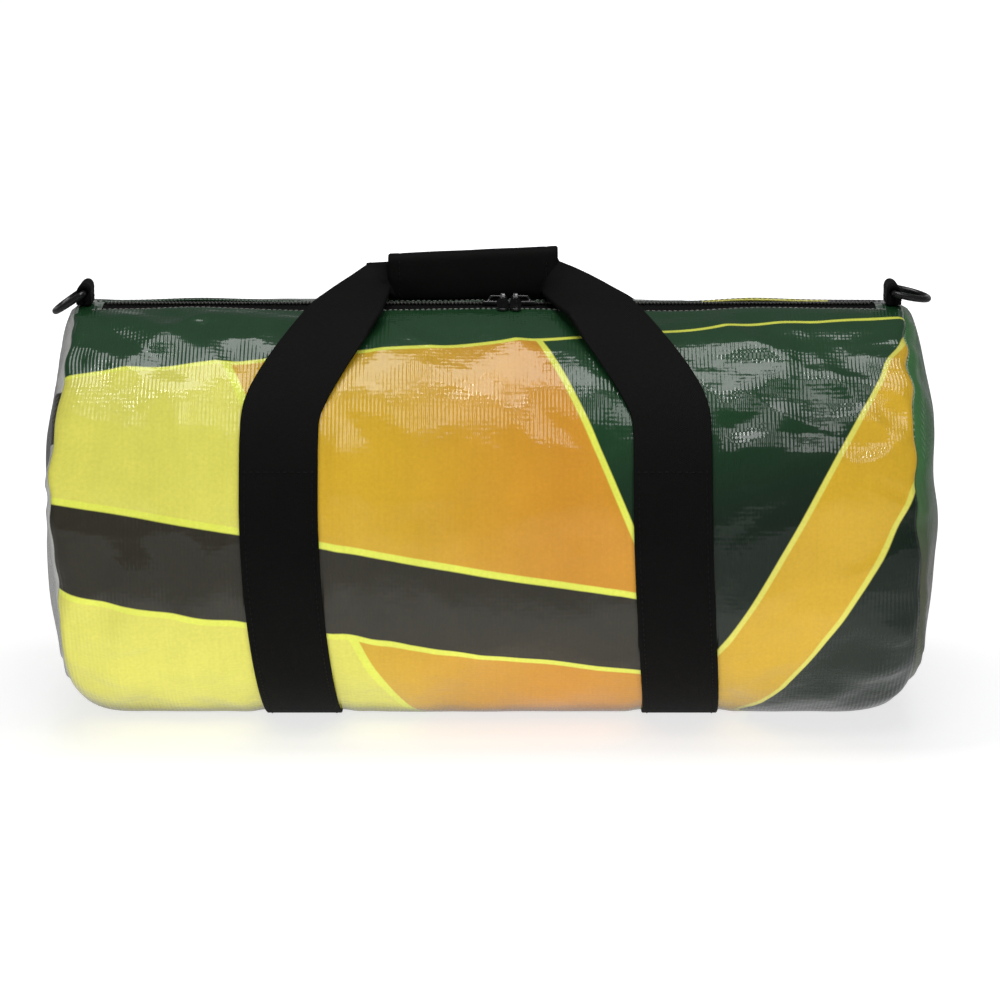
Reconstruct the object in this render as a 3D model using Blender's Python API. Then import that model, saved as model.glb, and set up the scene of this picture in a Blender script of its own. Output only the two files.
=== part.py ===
"""Barrel duffel bag of tarpaulin, with sewn webbing straps, a two-way top zip and a D-ring at each end.

Metres, +Z up. X runs along the bag, the front faces -Y, and the bag stands on the floor at Z = 0.
Places round the barrel are given as an angle from its crest, positive towards the front.
"""

import math

import bmesh
import bpy
import numpy as np
from mathutils import Vector

# Bag
BAG_DIAMETER = 0.275
SEAM_LENGTH = 0.550  # from one end seam to the other
END_BULGE = 0.023
BASE_FLAT = 0.076  # width of the flat that the filled bag stands on
END_LIFT = 0.016  # how far the base rises at the end seams
END_LIFT_REACH = 0.050  # length over which it rises
TARP = 0.0012
SEAM_ALLOWANCE = 0.010
BINDING_WIDTH = 0.009
BINDING_THICK = 0.0010
SEW_GAP = 0.0003  # clearance between pieces that are sewn or seated face to face

# Zip
MOUTH_WIDTH = 0.018
MOUTH_END_INSET = 0.019  # from an end seam to the end of the mouth
TAPE_WIDTH = 0.0205
TAPE_THICK = 0.0008
TAPE_HALF_GAP = 0.0015  # from the middle of the zip to the edge of a tape
TAPE_END_LAP = 0.006  # how far the tapes run on under the tarpaulin
TEETH_END_GAP = 0.004  # from the end of the mouth to the end of the teeth
TOOTH_PITCH = 0.0052
TOOTH_WIDTH = 0.0020
TOOTH_HEIGHT = 0.0018
TOOTH_REACH = 0.0009  # how far a tooth passes the middle of the zip
TOOTH_ROOT = 0.0014
ROW_OUTER = 0.0039
SLIDER_MEET_X = 0.0134  # where the two slider heads meet
SLIDER_HEAD_GAP = 0.0025
SLIDER_LENGTH = 0.0160
SLIDER_PLATE = 0.0008
SLIDER_RIM = 0.0009
SLIDER_SLACK = 0.0004  # between the rows of teeth and the slider
SLIDER_TAIL_LENGTH = 0.0055  # the straight stretch behind the shoulders
ROW_PARTING = 0.0028  # how far the slider's neck pushes each row aside
NECK_WIDTH = 0.0020
NECK_LENGTH = 0.0040
BRIDGE_WIDTH = 0.0018
BRIDGE_THICK = 0.0010
BRIDGE_FOOT = 0.0013
BRIDGE_TAIL_INSET = 0.0025
PULL_LENGTH = 0.028
PULL_WIDTH = 0.0078
PULL_NECK_WIDTH = 0.0050
PULL_NECK_LENGTH = 0.0039
PULL_TAPER = 0.0078  # length over which the neck widens to the full tab
PULL_THICK = 0.0016
PULL_KNUCKLE = 0.0027
PULL_RECESS = 0.00035
PULL_RIM = 0.0013
PULL_SLACK = 0.00032
PULL_WALL = 0.0009
PULL_REST = math.radians(9.5)  # below level, hanging over the front

# Straps and handles
WEB_WIDTH = 0.050
WEB_THICK = 0.0016
STRAP_SPACING = 0.250
STRAP_SHIFT_X = -0.008  # the straps sit a little left of the middle
SEWN_ANGLE = math.radians(60)  # where the handles leave the bag
HINGE_PROUD = 0.00015  # the fold line lies this far outside the webbing's face
HINGE_GAP = 0.0005  # between the fold line and the cut end of each stretch of webbing
STRAP_DRIFT = 0.010  # under the base they lie this much further right
DRIFT_START = math.radians(75)
LEG_PLACES = (  # shares of the way across, round, up, of turning to face out and of folding
    (0.00, 0.00, 0.00, 0.00, 0.00),
    (0.02, 0.12, 0.01, 0.00, 0.00),
    (0.13, 0.24, 0.04, 0.00, 0.00),
    (0.39, 0.45, 0.22, 0.00, 0.00),
    (0.65, 0.67, 0.60, 0.00, 0.12),  # straight from here to the corner at the grip
    (0.89, 0.97, 1.15, 0.60, 0.90),
    (1.00, 1.00, 1.00, 1.00, 1.00),
)
FOLDED_WIDTH = 0.0235
FOLDED_THICK = 0.0050
RUN_HALF_LENGTH = 0.0593
RUN_SHIFT_X = -0.0026  # of the folded run, from the middle of the straps
FRONT_RUN_Y = 0.0165  # the front handle's grip rests just behind the zip
BACK_RUN_Y = 0.0345
RUN_ROOM = 0.0010  # between the folded runs and the bag

# Grip wrap
GRIP_LENGTH = 0.113
COVER_THICK = 0.0020
FLAP_THICK = 0.0030
FLAP_TAIL = 0.012
CLOSURE_THICK = 0.0008
CLOSURE_HEIGHT = 0.008
CLOSURE_MARGIN = 0.006
GRIP_CORNER = 0.0017

# End rings
TAB_SEAM_INSET = 0.0075  # from an end seam to the ring's bar
TAB_WIDTH = 0.025
TAB_THICK = 0.0024
TAB_BAR_HEIGHT = 0.0078
RING_WIRE = 0.0044
RING_WIDTH = 0.0330  # between the centres of the two arms
RING_DEPTH = 0.0240  # from the bar's centre to the bow's centre
RING_BEND = 0.0035  # radius of the bends beside the bar
RING_SLACK = 0.0003
RING_LEFT_REST = math.radians(34)  # below level
RING_RIGHT_REST = math.radians(12)

# Facets
SIDE_STEPS = 6  # from the zip tape to where the straps are sewn
BELLY_STEPS = 12  # from there to the edge of the flat base
DOME_RINGS = (0.86, 0.62, 0.32)
DOME_POWER = 2.2  # above 2 the ends are flatter in the middle than a bowl
LIFT_STATIONS = (0.0, 0.25, 0.6, 1.0)  # shares of the stretch over which the base rises
WIRE_SIDES = 8
ARC_STEPS = 6
LEG_STEPS = 4  # between two of a handle leg's places
CORNER_STEPS = 3
SHARP_ANGLE = math.radians(35)
SAME_PLACE = 1e-6

# Places that follow from the sizes
BAG_RADIUS = BAG_DIAMETER / 2
BASE_Z = WEB_THICK + SEW_GAP
CENTRE_Z = BASE_Z + math.sqrt(BAG_RADIUS**2 - (BASE_FLAT / 2) ** 2)
CREST_Z = CENTRE_Z + BAG_RADIUS
HALF_SEAM = SEAM_LENGTH / 2
HALF_MOUTH = HALF_SEAM - MOUTH_END_INSET
WEB_LIFT = SEW_GAP + WEB_THICK / 2
MOUTH_ANGLE = math.asin(MOUTH_WIDTH / 2 / BAG_RADIUS)
TAPE_ANGLE = math.asin((TAPE_HALF_GAP + TAPE_WIDTH) / BAG_RADIUS)
FLAT_ANGLE = math.pi - math.asin(BASE_FLAT / 2 / BAG_RADIUS)
TAPE_TOP_Z = CREST_Z - TARP - SEW_GAP
TEETH_BASE_Z = TAPE_TOP_Z + SEW_GAP
TEETH_TOP_Z = TEETH_BASE_Z + TOOTH_HEIGHT
PLATE_Z = TEETH_TOP_Z + SLIDER_SLACK
PLATE_TOP_Z = PLATE_Z + SLIDER_PLATE
SHOULDER_LENGTH = SLIDER_LENGTH - SLIDER_TAIL_LENGTH
PULL_EYE = math.hypot(BRIDGE_WIDTH, BRIDGE_THICK) / 2 + PULL_SLACK
PULL_EYE_OUTER = PULL_EYE + PULL_WALL
PULL_AXIS_Z = PLATE_TOP_Z + SEW_GAP + PULL_EYE_OUTER
RUN_X = STRAP_SHIFT_X + RUN_SHIFT_X
WRAPPING = SEW_GAP + COVER_THICK  # depth of the grip cover round the folded webbing
TAB_X = HALF_SEAM - TAB_SEAM_INSET
TAB_LOOP = RING_WIRE / 2 + RING_SLACK
TAB_BAR_Z = CREST_Z + SEW_GAP + TAB_BAR_HEIGHT

COLOURS = {
    "tarpaulin": ((0.62, 0.58, 0.10), 0.28, 0.0),
    "end_tarpaulin": ((0.06, 0.16, 0.06), 0.28, 0.0),
    "webbing": ((0.012, 0.012, 0.011), 0.80, 0.0),
    "zip_tape": ((0.011, 0.011, 0.011), 0.85, 0.0),
    "zip_teeth": ((0.016, 0.016, 0.016), 0.42, 0.0),
    "zip_metal": ((0.014, 0.014, 0.014), 0.30, 0.6),
    "grip_cloth": ((0.013, 0.013, 0.012), 0.85, 0.0),
    "ring": ((0.014, 0.014, 0.014), 0.32, 0.0),
    "binding": ((0.014, 0.014, 0.014), 0.85, 0.0),
}


def clear_scene():
    for obj in list(bpy.data.objects):
        bpy.data.objects.remove(obj, do_unlink=True)


def finish(name):
    """The material of that name, made on first use."""
    if name in bpy.data.materials:
        return bpy.data.materials[name]
    colour, roughness, metallic = COLOURS[name]
    material = bpy.data.materials.new(name)
    material.use_nodes = True
    shader = material.node_tree.nodes["Principled BSDF"]
    shader.inputs["Base Color"].default_value = (*colour, 1.0)
    shader.inputs["Roughness"].default_value = roughness
    shader.inputs["Metallic"].default_value = metallic
    return material


def piece(name, points, faces, look, origin=(0, 0, 0), parent=None, closed=True):
    """A named object whose mesh is given in world coordinates, with its own origin."""
    origin = Vector(origin)
    mesh = bpy.data.meshes.new(name)
    mesh.from_pydata([Vector(p) - origin for p in points], [], faces)
    if closed:
        shape = bmesh.new()
        shape.from_mesh(mesh)
        bmesh.ops.recalc_face_normals(shape, faces=shape.faces)
        shape.to_mesh(mesh)
        shape.free()
    mesh.shade_smooth()
    mesh.set_sharp_from_angle(angle=SHARP_ANGLE)
    mesh.materials.append(finish(look))
    obj = bpy.data.objects.new(name, mesh)
    bpy.context.collection.objects.link(obj)
    obj.location = origin
    if parent:
        obj.parent = parent
        obj.location = origin - Vector(parent["at"])
    obj["at"] = tuple(origin)
    return obj


def union(obj, *others):
    """Joins closed shapes into one solid. The others become hidden guides."""
    for other in others:
        other.hide_render = True
        other.display_type = "WIRE"
        modifier = obj.modifiers.new("join " + other.name, "BOOLEAN")
        modifier.operation = "UNION"
        modifier.solver = "EXACT"
        modifier.object = other


def band_faces(rings, around, flip=False, wrap=False):
    """Faces between successive rings of points, wrapping round each ring if it is closed."""
    count = len(rings[0])
    faces = []
    for i in range(len(rings) if wrap else len(rings) - 1):
        for j in range(count if around else count - 1):
            k, here, there = (j + 1) % count, i * count, (i + 1) % len(rings) * count
            face = [here + j, here + k, there + k, there + j]
            faces.append(face[::-1] if flip else face)
    return faces


def loft(name, rings, look, wrap=False, **place):
    """A solid through closed rings of points, capped at both ends unless it runs round into itself."""
    count = len(rings[0])
    faces = band_faces(rings, around=True, wrap=wrap)
    if not wrap:
        faces.append(list(range(count))[::-1])
        faces.append([(len(rings) - 1) * count + j for j in range(count)])
    return piece(name, [p for ring in rings for p in ring], faces, look, **place)


def prism(name, outline, low, high, look, axis="z", **place):
    """An outline drawn in the plane across an axis, given thickness along that axis."""
    spots = {
        "x": lambda a, b, level: (level, a, b),
        "z": lambda a, b, level: (a, b, level),
    }[axis]
    rings = [[spots(a, b, level) for a, b in outline] for level in (low, high)]
    return loft(name, rings, look, **place)


def thicken(obj, thickness):
    """Gives an open sheet its wall, measured inwards from the drawn surface."""
    modifier = obj.modifiers.new("wall", "SOLIDIFY")
    modifier.thickness = thickness
    modifier.offset = -1
    modifier.use_even_offset = True


def arc(centre, radius, start, end, steps=ARC_STEPS):
    turns = np.linspace(start, end, steps + 1)
    return [(centre[0] + radius * math.cos(t), centre[1] + radius * math.sin(t)) for t in turns]


def bag_angles():
    """Angles from the front edge of the zip mouth, round under the base, to its back edge."""
    side = np.linspace(TAPE_ANGLE, SEWN_ANGLE, SIDE_STEPS + 1)
    belly = np.linspace(SEWN_ANGLE, FLAT_ANGLE, BELLY_STEPS + 1)[1:]
    half = [MOUTH_ANGLE, *side, *belly]
    return half + [2 * math.pi - a for a in reversed(half)]


def bag_point(x, angle, inset):
    """A point of the bag's outline, moved in from the outer face by inset."""
    reach = BAG_RADIUS - inset
    if abs(angle - math.pi) < math.pi - FLAT_ANGLE + SAME_PLACE:
        reach = (CENTRE_Z - BASE_Z - inset) / -math.cos(angle)
    return Vector((x, -reach * math.sin(angle), CENTRE_Z + reach * math.cos(angle)))


def end_inset(x, angle):
    """How far the bag has drawn in near an end seam: nothing at the crest, most at the base."""
    nearness = 1 - (HALF_SEAM - abs(x)) / END_LIFT_REACH
    return END_LIFT * (1 - math.cos(angle)) / 2 * max(nearness, 0) ** 2


def bag_ring(x, depth=0.0):
    return [bag_point(x, a, end_inset(x, a) + depth) for a in bag_angles()]


def barrel_panel():
    """The tarpaulin tube, open at both ends, with the zip mouth along its crest."""
    near_end = [HALF_MOUTH] + [HALF_SEAM - share * END_LIFT_REACH for share in LIFT_STATIONS]
    near_end.sort(reverse=True)
    stations = [-x for x in near_end] + near_end[::-1]
    rings = [bag_ring(x) for x in stations]
    faces = band_faces(rings, around=False)
    count = len(rings[0])
    for i in range(len(stations) - 1):
        if max(abs(stations[i]), abs(stations[i + 1])) > HALF_MOUTH + SAME_PLACE:
            here, there = i * count, (i + 1) * count
            faces.append([here + count - 1, here, there, there + count - 1])
    panel = piece("barrel_panel", sum(rings, []), faces, "tarpaulin", closed=False)
    thicken(panel, TARP)


def seam_room(layers, clearances):
    """Depth under the outer face that leaves room for layers where the bag draws in at its ends."""
    steepness = math.hypot(1, 2 * END_LIFT / END_LIFT_REACH)
    return (layers + clearances * SEW_GAP) * steepness


def end_panel(name, side):
    """A round end, domed outwards, with its seam allowance turned in inside the barrel."""
    depth = seam_room(TARP, 1)
    flange = bag_ring(side * (HALF_SEAM - SEAM_ALLOWANCE), depth)
    rim = bag_ring(side * HALF_SEAM, depth)
    middle = sum(rim, Vector()) / len(rim)
    rings = [flange, rim]
    for share in DOME_RINGS:
        bulge = Vector((side * END_BULGE * (1 - share**DOME_POWER), 0, 0))
        rings.append([middle.lerp(p, share) + bulge for p in rim])
    faces = band_faces(rings, around=True, flip=side < 0)
    points = sum(rings, [])
    apex, count = len(points), len(rim)
    points.append(middle + Vector((side * END_BULGE, 0, 0)))
    for j in range(count):
        face = [apex - count + j, apex - count + (j + 1) % count, apex]
        faces.append(face[::-1] if side < 0 else face)
    panel = piece(name, points, faces, "end_tarpaulin", closed=False)
    thicken(panel, TARP)


def seam_binding(name, side):
    """Tape sewn round the end seam, inside the bag."""
    depth = seam_room(2 * TARP, 2)
    start = HALF_SEAM - SEAM_ALLOWANCE
    rings = [bag_ring(side * x, depth) for x in (start, start + BINDING_WIDTH)]
    faces = band_faces(rings, around=True, flip=side < 0)
    binding = piece(name, sum(rings, []), faces, "binding", closed=False)
    thicken(binding, BINDING_THICK)


def zip_tape(name, side):
    """One half of the zip's woven tape, under the hem of the mouth. side is -1 in front and 1 behind."""
    angles = (math.asin(TAPE_HALF_GAP / BAG_RADIUS), MOUTH_ANGLE, TAPE_ANGLE)
    depth = TARP + SEW_GAP
    end = HALF_MOUTH + TAPE_END_LAP
    rings = []
    for x in (-end, end):
        top = [bag_point(x, -side * a, depth) for a in angles]
        under = [bag_point(x, -side * a, depth + TAPE_THICK) for a in reversed(angles)]
        rings.append(top + under)
    loft(name, rings, "zip_tape")


def slider_heads():
    half = SLIDER_HEAD_GAP / 2
    return SLIDER_MEET_X - half, SLIDER_MEET_X + half


def row_parting(x):
    """How far each row of teeth is pushed aside at x by the necks of the two sliders."""
    left, right = slider_heads()
    behind = max(left - x, x - right, 0)
    return ROW_PARTING * max(1 - behind / SHOULDER_LENGTH, 0)


def zip_teeth(name, side):
    """A row of teeth on one tape. The rows mesh, half a pitch apart, except between the sliders."""
    count = int(2 * (HALF_MOUTH - TEETH_END_GAP) / TOOTH_PITCH)
    start = -count * TOOTH_PITCH / 2 + (TOOTH_PITCH / 2 if side > 0 else 0)
    edge = []
    for i in range(count):
        x = start + i * TOOTH_PITCH
        gum, tip = TOOTH_ROOT, -TOOTH_REACH
        edge += [(x, gum), (x, tip), (x + TOOTH_WIDTH, tip), (x + TOOTH_WIDTH, gum)]
    left, right = slider_heads()
    bends = [right + SHOULDER_LENGTH, right, left, left - SHOULDER_LENGTH]
    back = [edge[-1][0], *bends, edge[0][0]]
    outline = edge + [(x, ROW_OUTER) for x in back]
    outline = [(x, side * (y + row_parting(x))) for x, y in outline]
    prism(name, outline, TEETH_BASE_Z, TEETH_TOP_Z, "zip_teeth")


def slider_outline(inset):
    """Half widths of the slider from its tail to its head, as (distance from the tail, half width)."""
    room = ROW_OUTER + SLIDER_SLACK + SLIDER_RIM - inset
    return [(0, room), (SLIDER_TAIL_LENGTH, room), (SLIDER_LENGTH, room + ROW_PARTING)]


def zip_slider(name, head_x, forward):
    """A slider whose head points along forward (1 or -1): two plates, side rims, neck and pull bridge."""

    def along(distance):
        return head_x - forward * (SLIDER_LENGTH - distance)

    def plate(label, low, high):
        edge = slider_outline(0)
        outline = [(along(d), w) for d, w in edge] + [(along(d), -w) for d, w in reversed(edge)]
        return prism(label, outline, low, high, "zip_metal", origin=(head_x, 0, PULL_AXIS_Z))

    def rim(label, side):
        outline = [(along(d), side * w) for d, w in slider_outline(0)]
        outline += [(along(d), side * w) for d, w in reversed(slider_outline(SLIDER_RIM))]
        return prism(label, outline, TEETH_BASE_Z, PLATE_Z + SLIDER_PLATE / 2, "zip_metal")

    body = plate(name, PLATE_Z, PLATE_TOP_Z)
    floor_top = TAPE_TOP_Z - TAPE_THICK - SLIDER_SLACK - SEW_GAP
    floor = plate(name + " floor", floor_top - SLIDER_PLATE, floor_top)
    half = NECK_WIDTH / 2
    neck_tail = along(SLIDER_LENGTH - NECK_LENGTH)
    neck_outline = [(head_x, half), (neck_tail, half / 2), (neck_tail, -half / 2), (head_x, -half)]
    neck_low, neck_high = floor_top - SLIDER_PLATE / 2, PLATE_Z + SLIDER_PLATE / 2
    neck = prism(name + " neck", neck_outline, neck_low, neck_high, "zip_metal")
    union(body, rim(name + " rim a", 1), rim(name + " rim b", -1), neck, floor)
    union(body, slider_bridge(name + " bridge", along))
    return body


def slider_bridge(name, along):
    """The arch along the top of a slider that its pull hangs on."""
    top = PULL_AXIS_Z + BRIDGE_THICK / 2
    under = PULL_AXIS_Z - BRIDGE_THICK / 2
    foot = PLATE_TOP_Z - SLIDER_PLATE / 2
    tail, head = BRIDGE_TAIL_INSET, SLIDER_LENGTH
    slope = top - foot
    side = [(tail, foot), (tail + BRIDGE_FOOT, foot), (tail + slope, under)]
    side += [(head - BRIDGE_FOOT, under), (head - BRIDGE_FOOT, foot), (head, foot)]
    side += [(head, under), (head - BRIDGE_THICK, top), (tail + slope - BRIDGE_FOOT, top)]
    half = BRIDGE_WIDTH / 2
    rings = [[(along(d), y, z) for d, z in side] for y in (-half, half)]
    return loft(name, rings, "zip_metal")


def zip_pull(name, slider, eye_x):
    """A tab with rounded end and sunk faces, on a knuckle round the slider's bridge."""
    origin = Vector((eye_x, 0, PULL_AXIS_Z))
    half, neck = PULL_WIDTH / 2, PULL_NECK_WIDTH / 2
    start = -(PULL_EYE + PULL_WALL / 2)
    end = -(PULL_LENGTH - half)
    neck_end = start - PULL_NECK_LENGTH
    shoulder = neck_end - PULL_TAPER
    outline = [(neck, start), (neck, neck_end), (half, shoulder)]
    outline += [(x, end + y) for x, y in arc((0, 0), half, 0, -math.pi, 2 * ARC_STEPS)]
    outline += [(-half, shoulder), (-neck, neck_end), (-neck, start)]
    outline = [(eye_x + x, y) for x, y in reversed(outline)]
    low, high = PULL_AXIS_Z - PULL_THICK / 2, PULL_AXIS_Z + PULL_THICK / 2
    tab = prism(name, outline, low, high, "zip_metal", origin=origin, parent=slider)
    sink_faces(tab, PULL_RIM, PULL_RECESS)
    turns = [2 * math.pi * i / (2 * ARC_STEPS) for i in range(2 * ARC_STEPS)]
    rings = []
    for side, radius in ((-1, PULL_EYE), (-1, PULL_EYE_OUTER), (1, PULL_EYE_OUTER), (1, PULL_EYE)):
        x = eye_x + side * PULL_KNUCKLE / 2
        rings.append([(x, radius * math.cos(t), PULL_AXIS_Z + radius * math.sin(t)) for t in turns])
    knuckle = loft(name + " knuckle", rings, "zip_metal", wrap=True, origin=origin, parent=slider)
    knuckle.parent = tab
    knuckle.location = (0, 0, 0)
    union(tab, knuckle)
    tab.rotation_euler.x = PULL_REST


def sink_faces(obj, rim, depth):
    """Sinks the two large faces of a flat piece inside a raised rim."""
    shape = bmesh.new()
    shape.from_mesh(obj.data)
    large = sorted(shape.faces, key=lambda face: face.calc_area())[-2:]
    bmesh.ops.inset_individual(shape, faces=large, thickness=rim, depth=-depth, use_even_offset=True)
    shape.to_mesh(obj.data)
    shape.free()


def strap_drift(angle):
    """How far along the bag a strap has drifted on its way round from the front or the back to the base."""
    from_crest = math.pi - abs(angle - math.pi)
    share = min(max((from_crest - DRIFT_START) / (FLAT_ANGLE - DRIFT_START), 0), 1)
    return STRAP_DRIFT * share * share * (3 - 2 * share)


def strap_band(name, x):
    """The sewn stretch of webbing, from where the front handle leaves it, under the base, to the back."""
    end_turn = HINGE_GAP / BAG_RADIUS
    first, last = SEWN_ANGLE + end_turn, 2 * math.pi - SEWN_ANGLE - end_turn
    angles = [first, *(a for a in bag_angles() if first < a < last), last]
    rings = []
    for a in angles:
        section = []
        middle = x + strap_drift(a)
        for across, depth in ((-1, 0), (1, 0), (1, 1), (-1, 1)):
            inset = -(SEW_GAP + depth * WEB_THICK)
            section.append(bag_point(middle + across * WEB_WIDTH / 2, a, inset))
        rings.append(section)
    loft(name, rings, "webbing")


def handle_hinge(side):
    """A point on the fold line of a handle: on the front for side 1, on the back for side -1."""
    proud = SEW_GAP + WEB_THICK + HINGE_PROUD
    return bag_point(0, side * SEWN_ANGLE, -proud)


def smooth_rows(rows, steps):
    """Rows of numbers run through smoothly, with steps between each two."""
    rows = np.array(rows)
    padded = np.vstack([2 * rows[0] - rows[1], rows, 2 * rows[-1] - rows[-2]])
    out = []
    for i in range(1, len(padded) - 2):
        before, here, there, after = padded[i - 1 : i + 3]
        for t in np.linspace(0, 1, steps, endpoint=False):
            square = 2 * before - 5 * here + 4 * there - after
            cube = 3 * (here - there) + after - before
            out.append(here + t / 2 * (there - before + t * square + t * t * cube))
    return np.vstack([out, rows[-1]])


def run_place(run_y, wrapping):
    """Angle round the bag and lift above it of the folded webbing, which rests there in its wrapping."""
    nearest = max(run_y - FOLDED_THICK / 2 - wrapping, 0)
    rise = math.sqrt(BAG_RADIUS**2 - nearest**2) + RUN_ROOM + wrapping + FOLDED_WIDTH / 2
    return math.atan2(-run_y, rise), math.hypot(run_y, rise) - BAG_RADIUS


def handle(name, side, run_y, wrapping):
    """A free loop of webbing. Its legs lie on the bag, lean in, cross the crest and fold into the grip."""
    run_angle, run_lift = run_place(run_y, wrapping)
    sewn = side * (SEWN_ANGLE - HINGE_GAP / BAG_RADIUS)
    half = STRAP_SPACING / 2
    upright = math.pi / 2 - side * run_angle

    def place(sign, share, turn, climb, tilt, fold):
        """One of a leg's places, in lengths and angles. The left leg's sign is -1."""
        run_end = RUN_HALF_LENGTH + sign * RUN_SHIFT_X
        across = half + share * (run_end - half)
        angle = sewn + turn * (run_angle - sewn)
        lift = WEB_LIFT + climb * (run_lift - WEB_LIFT)
        width = WEB_WIDTH + fold * (FOLDED_WIDTH - WEB_WIDTH)
        thick = WEB_THICK + fold * (FOLDED_THICK - WEB_THICK)
        return across, angle, lift, tilt * upright, width, thick

    def leg(sign):
        """Rows of a leg: curved on the bag, then straight to the corner and into the run."""
        *curve, corner, run = [np.array(place(sign, *shares)) for shares in LEG_PLACES]
        stretch = np.linspace(curve[-1], corner, LEG_STEPS + 1)
        return [*smooth_rows(curve, LEG_STEPS), *stretch[1:], run]

    left, right = leg(-1), leg(1)
    rows = [(-1, row) for row in left] + [(1, row) for row in right[::-1]]
    centres, facings = [], []
    for sign, (across, angle, lift, tilt, _, _) in rows:
        centre = bag_point(STRAP_SHIFT_X + sign * across, angle, -lift)
        outward = Vector((0, -math.sin(angle), math.cos(angle)))
        away = side * Vector((0, -math.cos(angle), -math.sin(angle)))
        centres.append(centre)
        facings.append(outward * math.cos(tilt) + away * math.sin(tilt))
    rings = []
    for i, (sign, row) in enumerate(rows):
        width, thick = row[4:]
        ahead = (centres[min(i + 1, len(rows) - 1)] - centres[max(i - 1, 0)]).normalized()
        if i in (0, len(rows) - 1):
            round_bag = Vector((0, -math.cos(row[1]), -math.sin(row[1])))
            ahead = round_bag * (side if i else -side)
        if i in (len(left) - 1, len(left)):
            ahead = Vector((1, 0, 0))
        across = ahead.cross(facings[i]).normalized() * width / 2
        facing = across.cross(ahead).normalized() * thick / 2
        c = centres[i]
        rings.append([c - across - facing, c + across - facing, c + across + facing, c - across + facing])
    hinge = handle_hinge(side)
    return loft(name, rings, "webbing", origin=(STRAP_SHIFT_X, hinge.y, hinge.z))


def grip_wrap(front_handle):
    """The cloth wrap on the front handle: a padded trough, a flap over it and a hook-and-loop closure."""
    run_angle, run_lift = run_place(FRONT_RUN_Y, WRAPPING)
    run_z = CENTRE_Z + (BAG_RADIUS + run_lift) * math.cos(run_angle)
    x0, x1 = RUN_X - GRIP_LENGTH / 2, RUN_X + GRIP_LENGTH / 2
    inner_y = FOLDED_THICK / 2 + SEW_GAP
    low_y, high_y = FRONT_RUN_Y - inner_y, FRONT_RUN_Y + inner_y
    floor_z = run_z - FOLDED_WIDTH / 2 - SEW_GAP
    top_z = run_z + FOLDED_WIDTH / 2 + SEW_GAP
    front_y, back_y = low_y - COVER_THICK, high_y + COVER_THICK
    under_z = floor_z - COVER_THICK + GRIP_CORNER
    turn = math.pi / 2
    outer = arc((front_y + GRIP_CORNER, under_z), GRIP_CORNER, 2 * turn, 3 * turn, CORNER_STEPS)
    outer += arc((back_y - GRIP_CORNER, under_z), GRIP_CORNER, 3 * turn, 4 * turn, CORNER_STEPS)
    inner = [(high_y, top_z), (high_y, floor_z), (low_y, floor_z), (low_y, top_z)]
    trough = [(front_y, top_z), *outer, (back_y, top_z), *inner]
    seat = {"origin": front_handle["at"], "parent": front_handle}
    prism("grip_cover", trough, x0, x1, "grip_cloth", axis="x", **seat)

    def closure(name, y, z, parent):
        y1, z1 = y + CLOSURE_THICK, z + CLOSURE_HEIGHT
        outline = [(y, z), (y1, z), (y1, z1), (y, z1)]
        ends = (x0 + CLOSURE_MARGIN, x1 - CLOSURE_MARGIN)
        prism(name, outline, *ends, "grip_cloth", axis="x", origin=parent["at"], parent=parent)

    loop_y = back_y + SEW_GAP
    hook_y = loop_y + CLOSURE_THICK + SEW_GAP
    tail_y = hook_y + CLOSURE_THICK + SEW_GAP
    flap_z = top_z + SEW_GAP
    tape_z = top_z - CLOSURE_HEIGHT - CLOSURE_THICK
    closure("grip_loop_tape", loop_y, tape_z, front_handle)
    tail_end = tail_y + FLAP_THICK
    flap_top = flap_z + FLAP_THICK
    outline = [(tail_y, flap_z), (front_y, flap_z)]
    outline += arc((front_y + FLAP_THICK, flap_z), FLAP_THICK, math.pi, math.pi / 2, ARC_STEPS)[1:]
    outline += arc((tail_end - FLAP_THICK, flap_top - FLAP_THICK), FLAP_THICK, math.pi / 2, 0, ARC_STEPS)
    outline += [(tail_end, flap_z - FLAP_TAIL), (tail_y, flap_z - FLAP_TAIL)]
    hinge = (RUN_X, front_y, flap_z)
    flap = prism("grip_flap", outline, x0, x1, "grip_cloth", axis="x", origin=hinge, parent=front_handle)
    closure("grip_hook_tape", hook_y, tape_z, flap)


def ring_tab(name, side):
    """Webbing folded over the ring's bar, its two legs sewn together on the crest."""
    x, inner, outer = side * TAB_X, TAB_LOOP, TAB_LOOP + TAB_THICK
    foot = CREST_Z + SEW_GAP
    slit = SEW_GAP / 2
    leg = slit + TAB_THICK
    pinch = math.asin(leg / outer)
    mouth = math.asin(min(slit / inner, 1))
    centre = (0, TAB_BAR_Z)
    down = -math.pi / 2
    outline = [(leg, foot)]
    outline += arc(centre, outer, down + pinch, down + 2 * math.pi - pinch, 4 * ARC_STEPS)
    outline += [(-leg, foot), (-slit, foot)]
    outline += arc(centre, inner, down + 2 * math.pi - mouth, down + mouth, 4 * ARC_STEPS)
    outline += [(slit, foot)]
    half = TAB_WIDTH / 2
    rings = [[(x + a, y, z) for a, z in outline] for y in (-half, half)]
    loft(name, rings, "webbing")


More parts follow.
